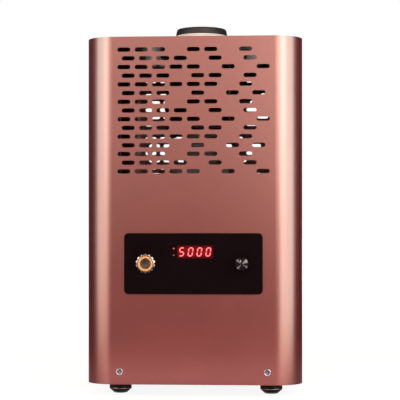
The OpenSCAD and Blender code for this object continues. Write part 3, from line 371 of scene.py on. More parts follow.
# %% [markdown]
# ## Finishes
# The case is aluminium that was blasted with fine grit and then anodised: the coloured metal below
# scatters light widely, and the clear oxide over it gives a narrower, whiter shine. A metallic base
# with a high roughness and a coat with a lower one does the same.

# %% Copper red case
new_finish("blasted_copper_red", (105, 35, 35), (98, 31, 32), (0.44, 0.52), 30, 0.9, 0.01,
           Metallic=0.6, Specular_IOR_Level=0.1, Coat_Weight=1.0, Coat_Roughness=0.275, Coat_IOR=2.3)
print("finishes:", len(finishes))

# %% [markdown]
# ## Other finishes
# Each line names a finish, its two colours, its roughness, and the size of its patches and grain.
# Metals differ from the rest by one socket, and a brushed or extruded surface by a stretched noise.
# Pale parts stay below full white and black ones above full black, as real ones do.

# %% Other finishes
new_finish("gloss_black", (12, 5, 8), (16, 8, 11), (0.28, 0.34), 40, 1.5, 0.002,
           Specular_IOR_Level=0.04)
new_finish("zinc_steel", (196, 198, 200), (176, 179, 183), (0.3, 0.42), 9, 1.2, 0.006, Metallic=1.0)
# Paler than zinc and not metallic: painted light, so that the corner strips show bright inside the case
new_finish("zinc_painted_light", (240, 228, 230), (222, 208, 212), (0.45, 0.6), 9, 1.2, 0.006)
new_finish("screw_zinc", (186, 188, 206), (160, 163, 184), (0.14, 0.24), 3, 0.5, 0.004, Metallic=1.0)
new_finish("foot_rubber", (9, 8, 10), (16, 15, 17), (0.4, 0.5), 6, 0.8, 0.01, Specular_IOR_Level=0.3)
new_finish("polished_rubber", (20, 20, 22), (26, 26, 28), (0.2, 0.3), 6, 0.8, 0.002,
           Coat_Weight=1.0, Coat_Roughness=0.12, Coat_IOR=2.6)
new_finish("black_plastic", (24, 24, 26), (34, 34, 37), (0.42, 0.56), 10, 0.5, 0.01)
new_finish("dark_chrome", (150, 149, 150), (136, 135, 136), (0.06, 0.12), 4, 1.0, 0.001, Metallic=1.0)
new_finish("nickel", (205, 203, 196), (186, 184, 176), (0.22, 0.34), 4, 0.6, 0.004, Metallic=1.0)
new_finish("brass", (212, 176, 96), (190, 152, 78), (0.22, 0.36), 5, 0.6, 0.004, Metallic=1.0)
new_finish("copper_bar", (206, 130, 96), (176, 100, 72), (0.25, 0.42), 9, 0.8, 0.006, Metallic=1.0)
new_finish("turned_cap_steel", (92, 85, 80), (74, 68, 65), (0.3, 0.42), 3, 0.4, 0.004, Metallic=1.0)
new_finish("black_aluminium", (48, 48, 52), (36, 36, 40), (0.24, 0.34), 3, 0.4, 0.004, Metallic=0.8)
new_finish("white_paint", (240, 240, 240), (226, 226, 228), (0.5, 0.6), 1, 0.3, 0.004)
new_finish("graphite", (36, 36, 43), (25, 25, 31), (0.42, 0.55), 5, 0.7, 0.02, Specular_IOR_Level=0.3)
new_finish("white_ceramic", (238, 233, 228), (226, 219, 214), (0.55, 0.7), 9, 0.7, 0.02)
new_finish("dark_fibre", (46, 45, 46), (30, 29, 31), (0.85, 0.95), 4, 0.7, 0.25)
new_finish("coil_sleeving", (40, 34, 34), (26, 22, 22), (0.5, 0.65), 4, 0.6, 0.15)
new_finish("coil_board_black", (34, 33, 35), (44, 43, 45), (0.45, 0.6), 7, 0.6, 0.02)
new_finish("dark_steel", (96, 96, 100), (76, 76, 80), (0.35, 0.5), 6, 0.6, 0.01, Metallic=1.0)
new_finish("grey_refractory", (214, 206, 210), (198, 190, 194), (0.75, 0.9), 6, 0.9, 0.2)
new_finish("cream_case", (222, 214, 186), (210, 200, 170), (0.4, 0.55), 10, 0.7, 0.01)
new_finish("circuit_green", (24, 96, 52), (16, 78, 42), (0.3, 0.42), 5, 0.8, 0.02)
new_finish("module_black", (34, 34, 38), (26, 26, 29), (0.4, 0.55), 7, 0.5, 0.02)
new_finish("sink_aluminium", (208, 208, 212), (188, 189, 194), (0.28, 0.4), 8, 0.9, 0.006,
           stretch=(1, 0.1, 1), Metallic=1.0)
new_finish("can_blue", (38, 50, 128), (30, 40, 108), (0.24, 0.34), 9, 0.8, 0.006)
new_finish("ferrite", (72, 74, 66), (58, 60, 54), (0.6, 0.75), 5, 0.6, 0.03)
new_finish("red_lead", (150, 24, 20), (128, 18, 16), (0.35, 0.48), 5, 0.7, 0.01)
new_finish("breaker_white", (222, 222, 218), (212, 212, 206), (0.38, 0.5), 9, 0.6, 0.008)
new_finish("lever_blue", (34, 84, 170), (28, 72, 150), (0.28, 0.4), 5, 0.6, 0.006)
print("finishes:", len(finishes))

# %% [markdown]
# ## Lit things
# The readout, the lamps and the ring of the button give off their own light. They stay dim enough
# to keep their colour, because a strong light would turn to plain white in the picture.

# %% Glowing finishes


def lit_finish(name, body, glow, strength, rough=0.3, **sockets):
    """A coloured lens with its own light, a little uneven as a diffuser is."""
    finish = new_finish(name, body, body, (rough, rough + 0.1), 2, 0.4, 0.002, **sockets)
    shader = shader_of(finish)
    shader.inputs["Emission Color"].default_value = shade(*glow)
    shader.inputs["Emission Strength"].default_value = strength
    return finish


lit_finish("digit_glow", (190, 60, 64), (255, 150, 155), 0.72)
lit_finish("window_red", (60, 0, 4), (115, 0, 6), 0.8)
lit_finish("amber_glow", (160, 100, 45), (255, 196, 118), 0.54)
lit_finish("lamp_glow", (150, 40, 42), (255, 110, 112), 0.42)
print("finishes:", len(finishes))

# %% [markdown]
# ## Hand tools
# Every piece is made with the same few moves: start from a primitive, work on it in edit mode,
# let a modifier round its edges, turn it to face the right way and hand it to its body.
# Writing each move once keeps the later cells short.

# %% Selecting and editing


def work_on(piece):
    """Leaves only this piece selected, and makes it the active one."""
    bpy.ops.object.select_all(action="DESELECT")
    piece.select_set(True)
    bpy.context.view_layer.objects.active = piece


def edit(piece):
    work_on(piece)
    bpy.ops.object.mode_set(mode="EDIT")
    bpy.ops.mesh.select_all(action="SELECT")


def leave():
    bpy.ops.object.mode_set(mode="OBJECT")


# %% Modifiers and copies


def apply_modifier(piece, kind, **settings):
    work_on(piece)
    modifier = piece.modifiers.new(kind.lower(), kind)
    for key, value in settings.items():
        setattr(modifier, key, value)
    bpy.ops.object.modifier_apply(modifier=modifier.name)


def soften(piece, width, angle=35):
    """Rounds every edge that is sharper than the angle. The width is in millimetres."""
    apply_modifier(piece, "BEVEL", width=width * mm, segments=2, limit_method="ANGLE",
                   angle_limit=math.radians(angle))


def copied(piece, name):
    work_on(piece)
    bpy.ops.object.duplicate(linked=False)
    twin = bpy.context.active_object
    twin.name = name
    return twin


print("modifiers on the CAD nodes:", sum(len(part.modifiers) for part in nodes.values()))

# %% Handing over
slot_of = {part["node"]: part["material_slot"] for part in frame["record"]["subparts"]}
body_of = {name: node["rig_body"] for name, node in nodes.items()}


def hand_over(piece, finish, body, slot, *replaced, smooth=35, flat=True):
    """Finishes a piece: smooth shading, one material, its body and the nodes it stands for. The slot is not
    used.
    """
    work_on(piece)
    bpy.ops.object.shade_smooth_by_angle(angle=math.radians(smooth))
    if flat:
        apply_modifier(piece, "WEIGHTED_NORMAL", keep_sharp=True)
    piece.data.materials.clear()
    piece.data.materials.append(finish)
    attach(piece, body)
    if replaced:
        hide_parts(*replaced)
    print(piece.name, len(piece.data.polygons), "faces")


def finish_node(piece, node, finish, **how):
    """Hands over a piece that stands for one CAD node."""
    hand_over(piece, finishes[finish], body_of[node], slot_of[node], node, **how)


print("bodies:", sorted(set(body_of.values())))

# %% [markdown]
# ## Sheet and moulded parts
# The folded sheets, blocks and moulded housings have the right shape in the CAD model, but every
# edge there is a knife edge. Each gets a copy with its doubles merged, its flat faces cleaned up
# and its edges rounded, so that they catch a line of light as bent and moulded edges do.

# %% Rounded copies of the CAD parts


def clean_copy(node):
    piece = copied(nodes[node], node + "_finished")
    edit(piece)
    bpy.ops.mesh.remove_doubles(threshold=1e-6)
    bpy.ops.mesh.dissolve_limited(angle_limit=math.radians(0.5))
    leave()
    return piece


def rounded_copy(node, finish, edge):
    piece = clean_copy(node)
    soften(piece, edge)
    finish_node(piece, node, finish)


print("nodes to finish:", len(nodes))

# %% Finish of each slot
finish_of_slot = {
    "case_copper_red": "blasted_copper_red", "tray_steel": "zinc_steel", "foot_rubber": "foot_rubber",
    "screw_steel": "screw_zinc", "plate_black": "gloss_black", "lens_red": "window_red",
    "digit_red": "digit_glow", "display_black": "black_plastic", "lamp_red": "lamp_glow",
    "board_green": "circuit_green", "spacer_brass": "brass", "bezel_chrome": "dark_chrome",
    "ring_amber": "amber_glow", "cap_steel": "turned_cap_steel", "nut_nickel": "nickel",
    "knob_black": "black_aluminium", "pointer_white": "white_paint", "crucible_graphite": "graphite",
    "sleeve_ceramic": "white_ceramic", "lining_fibre": "dark_fibre", "coil_sleeving": "coil_sleeving",
    "coil_board": "coil_board_black", "rod_steel": "dark_steel", "refractory_grey": "grey_refractory",
    "capacitor_cream": "cream_case", "busbar_copper": "copper_bar", "module_black": "module_black",
    "sink_aluminium": "sink_aluminium", "can_blue": "can_blue", "choke_ferrite": "ferrite",
    "lead_red": "red_lead", "fan_black": "black_plastic", "breaker_white": "breaker_white",
    "lever_blue": "lever_blue", "gland_black": "black_plastic",
}
for node, part in nodes.items():
    part.data.materials.clear()
    part.data.materials.append(finishes[finish_of_slot[slot_of[node]]])
print("slots:", len(finish_of_slot))

# %% Edges
# Edge radius in millimetres for each part that only needs its edges rounded
edge_of = {
    "front_shell": 0.1, "rear_cover": 0.1, "top_plate": 0.3, "base_tray": 0.3, "side_rails": 0.3,
    "equipment_deck": 0.3, "control_plate": 0.4, "display_digits": 0.12, "display_block": 0.4,
    "display_board": 0.15, "board_standoffs": 0.2, "button_switch": 0.4, "button_nut": 0.4,
    "potentiometer": 0.4, "potentiometer_nut": 0.3, "knob_shaft": 0.3, "coil_lining": 0.8,
    "coil_base_board": 0.8, "coil_top_board": 0.8, "tie_rods": 0.3, "pedestal": 0.8, "stand_block": 1.2,
    "resonant_capacitors": 1.6, "busbars": 0.4, "busbar_bolts": 0.4, "power_board": 0.15,
    "board_spacers": 0.3, "power_modules": 1.0, "rectifier_bridge": 1.5, "heat_sink": 0.35,
    "power_leads": 0.3, "fan_frame": 0.5, "breaker_body": 0.7, "foot_screws": 0.25, "gland_locknut": 0.4,
}
for node, edge in edge_of.items():
    rounded_copy(node, finish_of_slot[slot_of[node]], edge)

# %% [markdown]
# ## Places of repeated parts
# Screws, feet and lamps repeat. Each is modelled once and copied to where the CAD model has its
# own. The places are measured: a copy of the CAD node is split into its loose solids, and the box
# of each solid says where it is.

# %% Measuring loose solids


def box_of(corners):
    columns = list(zip(*corners))
    return Vector(map(min, columns)), Vector(map(max, columns))


def solids_of(node):
    """Low and high corner of each separate solid of a CAD node."""
    scrap = clean_copy(node)
    edit(scrap)
    bpy.ops.mesh.separate(type="LOOSE")
    leave()
    boxes = []
    for part in list(bpy.context.selected_objects):
        boxes.append(box_of([corner.co for corner in part.data.vertices]))
        bpy.data.objects.remove(part)
    return sorted(boxes, key=lambda pair: tuple(round(value, 4) for value in pair[0]))


def middle(pair):
    return (pair[0] + pair[1]) / 2


print("screws in the sides:", len(solids_of("side_screws")))

# %% Placing and joining


def place(piece, at=(0, 0, 0), facing=UP):
    """Turns a piece made on the Z axis to face the way it should, and keeps its place in its mesh."""
    work_on(piece)
    piece.location = at
    piece.rotation_euler = facing
    bpy.ops.object.transform_apply(location=True, rotation=True, scale=True)
    return piece


def joined(pieces, name):
    """Several pieces of one kind as one object."""
    work_on(pieces[0])
    for piece in pieces:
        piece.select_set(True)
    bpy.ops.object.join()
    pieces[0].name = name
    return pieces[0]


def repeat(model, places, name):
    """Copies a model to each place, given as a point and a way to face, and joins the copies."""
    pieces = [place(copied(model, name), at, facing) for at, facing in places]
    bpy.data.objects.remove(model)
    return joined(pieces, name)


print("middle of the case in mm:", [round(value / mm, 1) for value in middle(cad_box)])

# %% [markdown]
# ## Turning
# Many parts of the furnace come off a lathe: feet, screws, bezel, knob, crucible, sleeve. A lathe
# part is a circle that is drawn up along its profile, extruded and resized ring by ring. It could
# also be a half profile that is spun, but then the poles have to be closed afterwards.

# %% The lathe


def turned(name, profile, sides=64, ring=False):
    """A profile of (radius, height) points in millimetres, turned about Z. A ring has no caps."""
    fill = "NOTHING" if ring else "NGON"
    bpy.ops.object.select_all(action="DESELECT")
    bpy.ops.mesh.primitive_circle_add(vertices=sides, radius=profile[0][0] * mm, fill_type=fill)
    piece = bpy.context.active_object
    piece.name = name
    edit(piece)
    bpy.ops.transform.translate(value=(0, 0, profile[0][1] * mm))
    stops = profile + [profile[0]] if ring else profile
    for (r0, z0), (r1, z1) in zip(stops, stops[1:]):
        bpy.ops.mesh.extrude_region_move(TRANSFORM_OT_translate={"value": (0, 0, (z1 - z0) * mm)})
        grow = r1 / r0
        bpy.ops.transform.resize(value=(grow, grow, 1), center_override=(0, 0, z1 * mm))
    bpy.ops.mesh.select_all(action="SELECT")
    bpy.ops.mesh.remove_doubles(threshold=1e-6)
    bpy.ops.mesh.normals_make_consistent(inside=False)
    leave()
    return piece


def box_between(name, low, high):
    """A block from its lowest to its highest corner."""
    low = Vector(low)
    high = Vector(high)
    bpy.ops.object.select_all(action="DESELECT")
    bpy.ops.mesh.primitive_cube_add(size=1, location=(low + high) / 2, scale=high - low)
    piece = bpy.context.active_object
    piece.name = name
    return place(piece, piece.location)


# %% [markdown]
# ## Screws
# The case is held by countersunk screws with a slightly raised head and a cross recess. The head
# is turned, and the recess is milled into it by a tapered cutter, once each way, as a Boolean cut.

# %% Cross recess
cross_width, cross_thickness, cross_depth = 4.6 * mm, 0.95 * mm, 1.7 * mm


def pick(piece, test):
    """Opens the piece in edit mode with only the corners that pass the test selected."""
    edit(piece)
    bpy.ops.mesh.select_mode(type="VERT")
    bpy.ops.mesh.select_all(action="DESELECT")
    leave()
    for corner in piece.data.vertices:
        corner.select = test(corner.co)
    bpy.ops.object.mode_set(mode="EDIT")


def cut(piece, tool, operation="DIFFERENCE"):
    """Cuts a piece with a tool, as a drill or a mill would, and puts the tool away."""
    apply_modifier(piece, "BOOLEAN", object=tool, operation=operation, solver="EXACT")
    bpy.data.objects.remove(tool)
    return piece


def cross_cutter(width, thickness, depth, top):
    """One blade of the cross: a bar that narrows towards its foot."""
    low = (-width / 2, -thickness / 2, top - depth)
    high = (width / 2, thickness / 2, top + 1 * mm)
    blade = box_between("cutter", low, high)
    pick(blade, lambda corner: corner.z < top - depth / 2)
    bpy.ops.transform.resize(value=(0.45, 0.7, 1), center_override=(0, 0, top - depth))
    leave()
    return blade


def recessed(head, top):
    """Mills the cross into a head whose middle is at this height, in millimetres."""
    for turn in (45, 135):
        blade = cross_cutter(cross_width, cross_thickness, cross_depth, top * mm)
        cut(head, place(blade, facing=(0, 0, math.radians(turn))))
    return head


print("cross recess, width and depth in mm:", round(cross_width / mm, 2), round(cross_depth / mm, 2))

# %% Countersunk and pan-head screws
# Radius and height of each stop of the lathe, from the foot up to the middle of the head
countersunk = [(2, -8), (2, -1.8), (3.7, -0.1), (3.8, 0.0), (3.8, 0.12), (3.66, 0.26), (3.45, 0.3),
               (3.28, 0.2), (3.15, 0.1), (2.9, 0.08), (1.2, 0.12)]
pan = [(2, -14), (2, 0), (3.8, 0), (3.8, 1.3), (3.55, 1.95), (2.9, 2.4), (1.6, 2.6)]


def screw(profile):
    return recessed(turned("screw", profile, 36), profile[-1][1])


# The rim of a side screw stays below the case's widest place
rim_height = 0.3 * mm
case_top = 0.414


def facing_out(pair):
    """The way a screw faces: out of the side, front, rear or top that it is nearest to."""
    at = middle(pair)
    ways = {RIGHT: cad_box[1].x - pair[1].x, LEFT: pair[0].x - cad_box[0].x, UP: case_top - pair[1].z}
    ways[FRONT] = abs(pair[0].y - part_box("front_shell")[0].y)
    ways[REAR] = abs(pair[1].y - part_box("rear_cover")[1].y)
    facing = min(ways, key=lambda way: abs(ways[way]))
    outer = {RIGHT: ("x", 1), LEFT: ("x", 0), UP: ("z", 1), FRONT: ("y", 0), REAR: ("y", 1)}[facing]
    setattr(at, outer[0], getattr(pair[outer[1]], outer[0]))
    if facing in (LEFT, RIGHT):
        at.x -= math.copysign(rim_height, at.x)
    return at, facing


print("widest head in mm:", 2 * max(radius for radius, height in countersunk + pan))

# %% Screws in their places
for node in ("front_screws", "side_screws", "rear_screws", "top_screws"):
    places = [facing_out(pair) for pair in solids_of(node)]
    finish_node(repeat(screw(countersunk), places, node + "_turned"), node, "screw_zinc")

fan_screw_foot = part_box("rear_cover")[1].y
places = [((middle(pair).x, fan_screw_foot, middle(pair).z), REAR) for pair in solids_of("fan_screws")]
finish_node(repeat(screw(pan), places, "fan_screws_turned"), "fan_screws", "screw_zinc")

# %% [markdown]
# ## Stiffening strips
# Through the outermost slots a pale upright edge shows inside the rear corner. It is read as a
# galvanised strip that stiffens the side of the rear cover, its brightness partly painted into a
# finish paler and less metallic than zinc. It is a bar that touches the rounded corner from inside.
# Its top is drawn up a little and cut back at the front, and its edges are rounded.

# %% Strips in the rear corners
strip_front = max(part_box("side_rails")[1].y + 2 * mm, 0.104)
strip_rear, strip_foot, strip_top = 0.138, 0.14, 0.378
strip_x, half_thickness = 0.1206, 0.0022
strips = []
for side in (-1, 1):
    low = (-half_thickness, strip_front, strip_foot)
    strip = box_between("strip", low, (half_thickness, strip_rear, strip_top))
    pick(strip, lambda corner: corner.z > (strip_foot + strip_top) / 2)
    bpy.ops.mesh.extrude_region_move(TRANSFORM_OT_translate={"value": (0, 0, 3 * mm)})
    bpy.ops.transform.resize(value=(1, 0.6, 1), center_override=(0, strip_rear, strip_top))
    leave()
    strips.append(place(strip, (side * strip_x, 0, 0)))
strips = joined(strips, "corner_strips")
soften(strips, 0.3)
# The strips' pale finish is partly painted light
hand_over(strips, finishes["zinc_painted_light"], "case", "tray_steel")

# %% [markdown]
# ## Rubber feet
# A moulded foot is turned too: a well for the screw from below, a flat to stand on, a round side
# and a small moulding line, which catches the grey line of light seen in the photograph.

# %% Feet
foot_profile = [
    (4.2, 7), (4.2, 0.5), (4.7, 0), (7.2, 0), (7.7, 0.15), (9.4, 1.75), (11.2, 3.35), (12.4, 4.5),
    (12.85, 5.1), (13, 5.8), (13, 13.6), (12.6, 14)]
bead_profile = [(12.6, 4.5), (12.95, 4.9), (13.1, 5.4), (13.1, 5.9), (12.95, 6.3), (12.6, 6.5)]
places = [((middle(pair).x, middle(pair).y, 0), UP) for pair in solids_of("rubber_feet")]
for name, profile, ring, finish in (("feet_moulded", foot_profile, False, "foot_rubber"),
                                    ("feet_moulding_line", bead_profile, True, "polished_rubber")):
    finish_node(repeat(turned("foot", profile, 56, ring), places, name), "rubber_feet", finish)

# %% [markdown]
# ## Push button
# A 19 mm metal button: a fluted chrome bezel, a ring of light and a turned cap that is pressed.
# The bezel is a turned ring. Its fourteen flutes could be milled with a Boolean cutter, but it is
# simpler to pick the corners that lie in a flute, ring by ring, and draw them towards the axis.

# %% Bezel
plate_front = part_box("control_plate")[0].y
button_low, button_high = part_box("button_bezel")
button_at = ((button_low.x + button_high.x) / 2, plate_front, (button_low.z + button_high.z) / 2)
flutes = 14


def turn_of(corner):
    """Angle of a corner round Z, in degrees from straight up, 0 to 360."""
    return math.degrees(math.atan2(corner.x, corner.y)) % 360


def in_groove(corner, count, share):
    step = 360 / count
    off = (turn_of(corner) + step / 2) % step - step / 2
    return abs(off) < step * share / 2


bezel = turned("button_bezel_turned", [
    (8.5, 2.3), (8.65, 2.52), (9.0, 2.6), (9.4, 2.5), (9.9, 2.1), (10.5, 1.45), (10.9, 0.9), (11, 0.5),
    (11, 0.02), (9.4, 0.02), (9.4, -24), (8.5, -24)], flutes * 8, ring=True)
flute_foot, flute_share, near = 0.4 * mm, 0.5, 0.04 * mm
for radius, inwards in ((11, 0.885), (10.9, 0.89), (10.5, 0.92), (9.9, 0.97)):
    pick(bezel, lambda corner: corner.z > flute_foot and in_groove(corner, flutes, flute_share)
         and abs(math.hypot(corner.x, corner.y) - radius * mm) < near)
    bpy.ops.transform.resize(value=(inwards, inwards, 1), center_override=(0, 0, 0))
    leave()
finish_node(place(bezel, button_at, FRONT), "button_bezel", "dark_chrome", smooth=30)

# %% Light ring and cap
light_ring = turned("button_light_ring_moulded", [
    (6.45, 1.8), (6.65, 2.0), (7.4, 2.1), (8.2, 1.95), (8.4, 1.7), (8.4, -16), (6.45, -16)],
    96, ring=True)
finish_node(place(light_ring, button_at, FRONT), "button_light_ring", "amber_glow")

# The cap's face is dished, and keeps the fine rings of the tool
cap_side = [(6.05, -14), (6.05, 1.75), (5.9, 2.05), (5.6, 2.2), (5.3, 2.2)]
cap_face = [(5.0 - 0.3 * i, 2.0 - 0.02 * i + (0.03 if i % 2 else 0)) for i in range(16)]
cap = turned("button_cap_turned", cap_side + cap_face, 72)
finish_node(place(cap, button_at, FRONT), "button_cap", "turned_cap_steel", flat=False)

# %% [markdown]
# ## Power knob
# The knob is turned from black aluminium. Its face keeps the fine rings of the tool, and such rings
# throw the light back in wedges. Real rings are finer than a mesh can hold, so the mesh has only
# the coarsest. The wedges are a painted highlight, grey in the base colour, in a radial gradient
# round the knob's own axis that turns with it. Twenty-eight grooves in its side give a grip.

# %% Knob
knob_low, knob_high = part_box("power_knob")
knob_at = ((knob_low.x + knob_high.x) / 2, knob_high.y, (knob_low.z + knob_high.z) / 2)
grips = 28
knob_face = [(6.5 - 0.25 * i, 13.95 - (0.07 if i % 2 else 0)) for i in range(25)]
knob_side = [
    (3.05, 12), (3.05, 4.8), (5.35, 4.8), (5.35, 0.3), (5.7, 0), (7.2, 0), (7.5, 0.3), (7.5, 2.3),
    (7.5, 2.7), (7.5, 11.3), (7.5, 11.7), (7.5, 13.2), (7.35, 13.6), (7.0, 13.9), (6.75, 14)]
knob = turned("power_knob_turned", knob_side + knob_face, grips * 4)
grip_foot, grip_top, grip_radius, grip_share = 2.5 * mm, 11.5 * mm, 7.4 * mm, 0.1
pick(knob, lambda corner: grip_foot < corner.z < grip_top and in_groove(corner, grips, grip_share)
     and math.hypot(corner.x, corner.y) > grip_radius)
bpy.ops.transform.resize(value=(0.95, 0.95, 1), center_override=(0, 0, 0))
leave()
print(knob.name, len(knob.data.vertices), "corners")

# %% The knob's face
# The painted highlight wedges: angle in degrees from the right, and brightness
wedges = [(-150, 0), (-133, 0.6), (-117, 0), (-46, 0), (-31, 0.55), (-17, 0), (8, 0), (22, 0.9),
          (42, 1), (57, 0), (120, 0), (140, 0.7), (160, 0)]


def painted_highlight_finish(name, centre, front):
    """Black, with a painted highlight of grey wedges round the centre, only on the face."""
    finish = new_finish(name, (15, 14, 16), (10, 9, 11), (0.5, 0.6), 3, 0.4, 0.004,
                        Specular_IOR_Level=0.06)
    shader = shader_of(finish)
    black = shader.inputs["Base Color"].links[0].from_socket
    add = node_adder(finish.node_tree)
    spot = add("TexCoord")
    centred = add("VectorMath", {0: spot.outputs["Object"], 1: centre}, operation="SUBTRACT")
    split = add("SeparateXYZ", {0: centred.outputs[0]})
    flat = add("CombineXYZ", {"X": split.outputs["X"], "Y": split.outputs["Z"]})
    round_it = add("TexGradient", {"Vector": flat.outputs[0]}, gradient_type="RADIAL")
    ramp = add("ValToRGB", {0: round_it.outputs[0]})
    ramp.color_ramp.elements.remove(ramp.color_ramp.elements[1])
    ramp.color_ramp.elements[0].color = BLACK + (1,)
    for degrees, value in wedges:
        stop = ramp.color_ramp.elements.new(degrees / 360 + 0.5)
        stop.color = (value, value, value, 1)
    reach = add("VectorMath", {0: flat.outputs[0]}, operation="LENGTH")
    inner = add("MapRange", {"Value": reach.outputs["Value"], "From Min": 0.6 * mm,
                             "From Max": 1.6 * mm})
    face = add("MapRange", {"Value": split.outputs["Y"], "From Min": front + 0.6 * mm,
                            "From Max": front + 0.3 * mm})
    highlight_mask = add("Math", {0: inner.outputs[0], 1: face.outputs[0]}, operation="MULTIPLY")
    share = add("Math", {0: highlight_mask.outputs[0], 1: ramp.outputs[0]}, operation="MULTIPLY")
    # Painted highlight: grey wedges mixed into the base colour, on the face only
    painted_highlight = add("MixRGB", {0: share.outputs[0], 1: black, 2: shade(150, 148, 156)})
    finish.node_tree.links.new(painted_highlight.outputs[0], shader.inputs["Base Color"])


painted_highlight_finish("black_with_painted_highlight", knob_at, knob_low.y - knob_at[1])
finish_node(place(knob, knob_at, FRONT), "power_knob", "black_with_painted_highlight", flat=False)

# %% Pointer dot
dot_low, dot_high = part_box("knob_pointer")
dot = turned("knob_pointer_painted", [(0.6, 0), (0.6, 0.52), (0.5, 0.58), (0.3, 0.6)], 24)
place(dot, ((dot_low.x + dot_high.x) / 2, dot_high.y, (dot_low.z + dot_high.z) / 2), FRONT)
finish_node(dot, "knob_pointer", "white_paint")

# %% [markdown]
# ## Readout and lamps
# The figures shine through a red filter. Its glow fades towards the edges of the opening, so the
# filter's light is measured from its own middle. The lamps are light guides with domed ends.

# %% Window


def feathered_finish(name, low, high):
    """A dark red lens whose light fades out towards the edges of the box from low to high."""
    finish = lit_finish(name, (24, 0, 2), (134, 4, 14), 1.0, 0.4, Specular_IOR_Level=0.06)
    add = node_adder(finish.node_tree)
    spot = add("TexCoord")
    centred = add("VectorMath", {0: spot.outputs["Object"], 1: (low + high) / 2}, operation="SUBTRACT")
    half = (high - low) / 2
    size = add("VectorMath", {0: centred.outputs[0], 1: (half.x, 1, half.z)}, operation="DIVIDE")
    whole = add("VectorMath", {0: size.outputs[0]}, operation="ABSOLUTE")
    split = add("SeparateXYZ", {0: whole.outputs[0]})
    across = add("MapRange", {"Value": split.outputs["X"], "From Min": 1.02, "From Max": 0.88})
    up = add("MapRange", {"Value": split.outputs["Z"], "From Min": 1.1, "From Max": 0.35})
    both = add("Math", {0: across.outputs[0], 1: up.outputs[0]}, operation="MULTIPLY")
    finish.node_tree.links.new(both.outputs[0], shader_of(finish).inputs["Emission Strength"])


feathered_finish("window_feathered", *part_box("display_window"))
window = clean_copy("display_window")
soften(window, 0.15)
finish_node(window, "display_window", "window_feathered")

# %% Lamps
lit_finish("lamp_dim", (90, 16, 20), (190, 40, 46), 0.45)
lit_finish("lamp_off", (10, 15, 11), (20, 24, 18), 0.05, 0.5, Specular_IOR_Level=0.03)
lamp_pairs = sorted(solids_of("indicator_lamps"), key=lambda pair: (-pair[0].x, -pair[0].z))
lamp_names = ("lamp_upper", "lamp_lower", "lamp_outer")
lamp_finishes = ("lamp_glow", "lamp_dim", "lamp_off")
for name, finish, pair in zip(lamp_names, lamp_finishes, lamp_pairs):
    guide = turned(name, [(0.95, -13), (0.95, 0), (0.85, 0.25), (0.55, 0.42), (0.2, 0.48)], 24)
    place(guide, (middle(pair).x, plate_front, middle(pair).z), FRONT)
    finish_node(guide, "indicator_lamps", finish)

# %% [markdown]
# ## Crucible and sleeve
# The crucible is turned from graphite with a wide rim that rests on the white sleeve. Both are one
# profile each: up the outside, over the lip and down into the bore, so that their walls are real.

# %% Crucible and ceramic sleeve
axis_y = middle(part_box("crucible")).y
foot_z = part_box("crucible")[0].z / mm
rim_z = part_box("crucible")[1].z / mm
seat_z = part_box("ceramic_sleeve")[1].z / mm
crucible = turned("crucible_turned", [
    (23.5, foot_z), (24.4, foot_z + 0.3), (26.4, foot_z + 2.2), (27, foot_z + 3.4), (27, seat_z),
    (31.9, seat_z), (32.25, seat_z + 0.35), (32.3, seat_z + 1.2), (31.7, rim_z - 3.2),
    (31.35, rim_z - 1.8), (30.9, rim_z - 0.8), (30.2, rim_z - 0.2), (29.3, rim_z), (23.2, rim_z),
    (22.3, rim_z - 0.3), (21.5, rim_z - 1.0), (21, rim_z - 2.2), (21, foot_z + 17),
    (20.3, foot_z + 14), (18.5, foot_z + 11.6), (15, foot_z + 10)], 128)
finish_node(place(crucible, (0, axis_y, 0)), "crucible", "graphite")

sleeve_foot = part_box("ceramic_sleeve")[0].z / mm
sleeve = turned("ceramic_sleeve_turned", [
    (31.4, sleeve_foot), (32, sleeve_foot + 0.6), (32, seat_z - 0.7), (31.8, seat_z - 0.2),
    (31.3, seat_z), (28.1, seat_z), (27.6, seat_z - 0.2), (27.5, seat_z - 0.6),
    (27.5, sleeve_foot + 12)], 128)
finish_node(place(sleeve, (0, axis_y, 0)), "ceramic_sleeve", "white_ceramic")

# %% [markdown]
# ## Induction coil
# Six turns of copper tube in a woven black sleeving, with its two ends led down to the busbars.
# A screw modifier would make the turns but not the leads, so the tube follows one curve along the
# route that the CAD model takes, and is then made a mesh.

# %% Route of the coil
coil_mid, tube = 42.2, 4.8
first_z, rise, turns, steps_per_turn = 330.5, 68.4, 6, 48
lead_x, lead_y, bend = 18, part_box("busbars")[0].y / mm + 10 - axis_y / mm, 8
bar_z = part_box("busbars")[1].z / mm


def bezier(a, b, c, d, t):
    return tuple((1 - t) ** 3 * p + 3 * t * (1 - t) ** 2 * q + 3 * t * t * (1 - t) * r + t ** 3 * s
                 for p, q, r, s in zip(a, b, c, d))


def lead_out(side, z):
    """From the end of the coil to the rear, and down to the busbar."""
    out = [bezier((0, coil_mid, z), (side * lead_x / 2, coil_mid, z), (side * lead_x, coil_mid + 1, z),
                  (side * lead_x, lead_y - bend, z), i / 10) for i in range(1, 11)]
    down = [(side * lead_x, lead_y - bend * (1 - math.sin(math.radians(turn))),
             z - bend * (1 - math.cos(math.radians(turn)))) for turn in range(15, 91, 15)]
    return out + down + [(side * lead_x, lead_y, bar_z + 2 * tube), (side * lead_x, lead_y, bar_z)]


loops = []
for i in range(turns * steps_per_turn + 1):
    turn = math.radians(90 + i * 360 / steps_per_turn)
    height = first_z + rise * i / (turns * steps_per_turn)
    loops.append((coil_mid * math.cos(turn), coil_mid * math.sin(turn), height))
route = lead_out(1, first_z)[::-1] + loops + lead_out(-1, first_z + rise)
print("points along the coil:", len(route))

# %% Coil


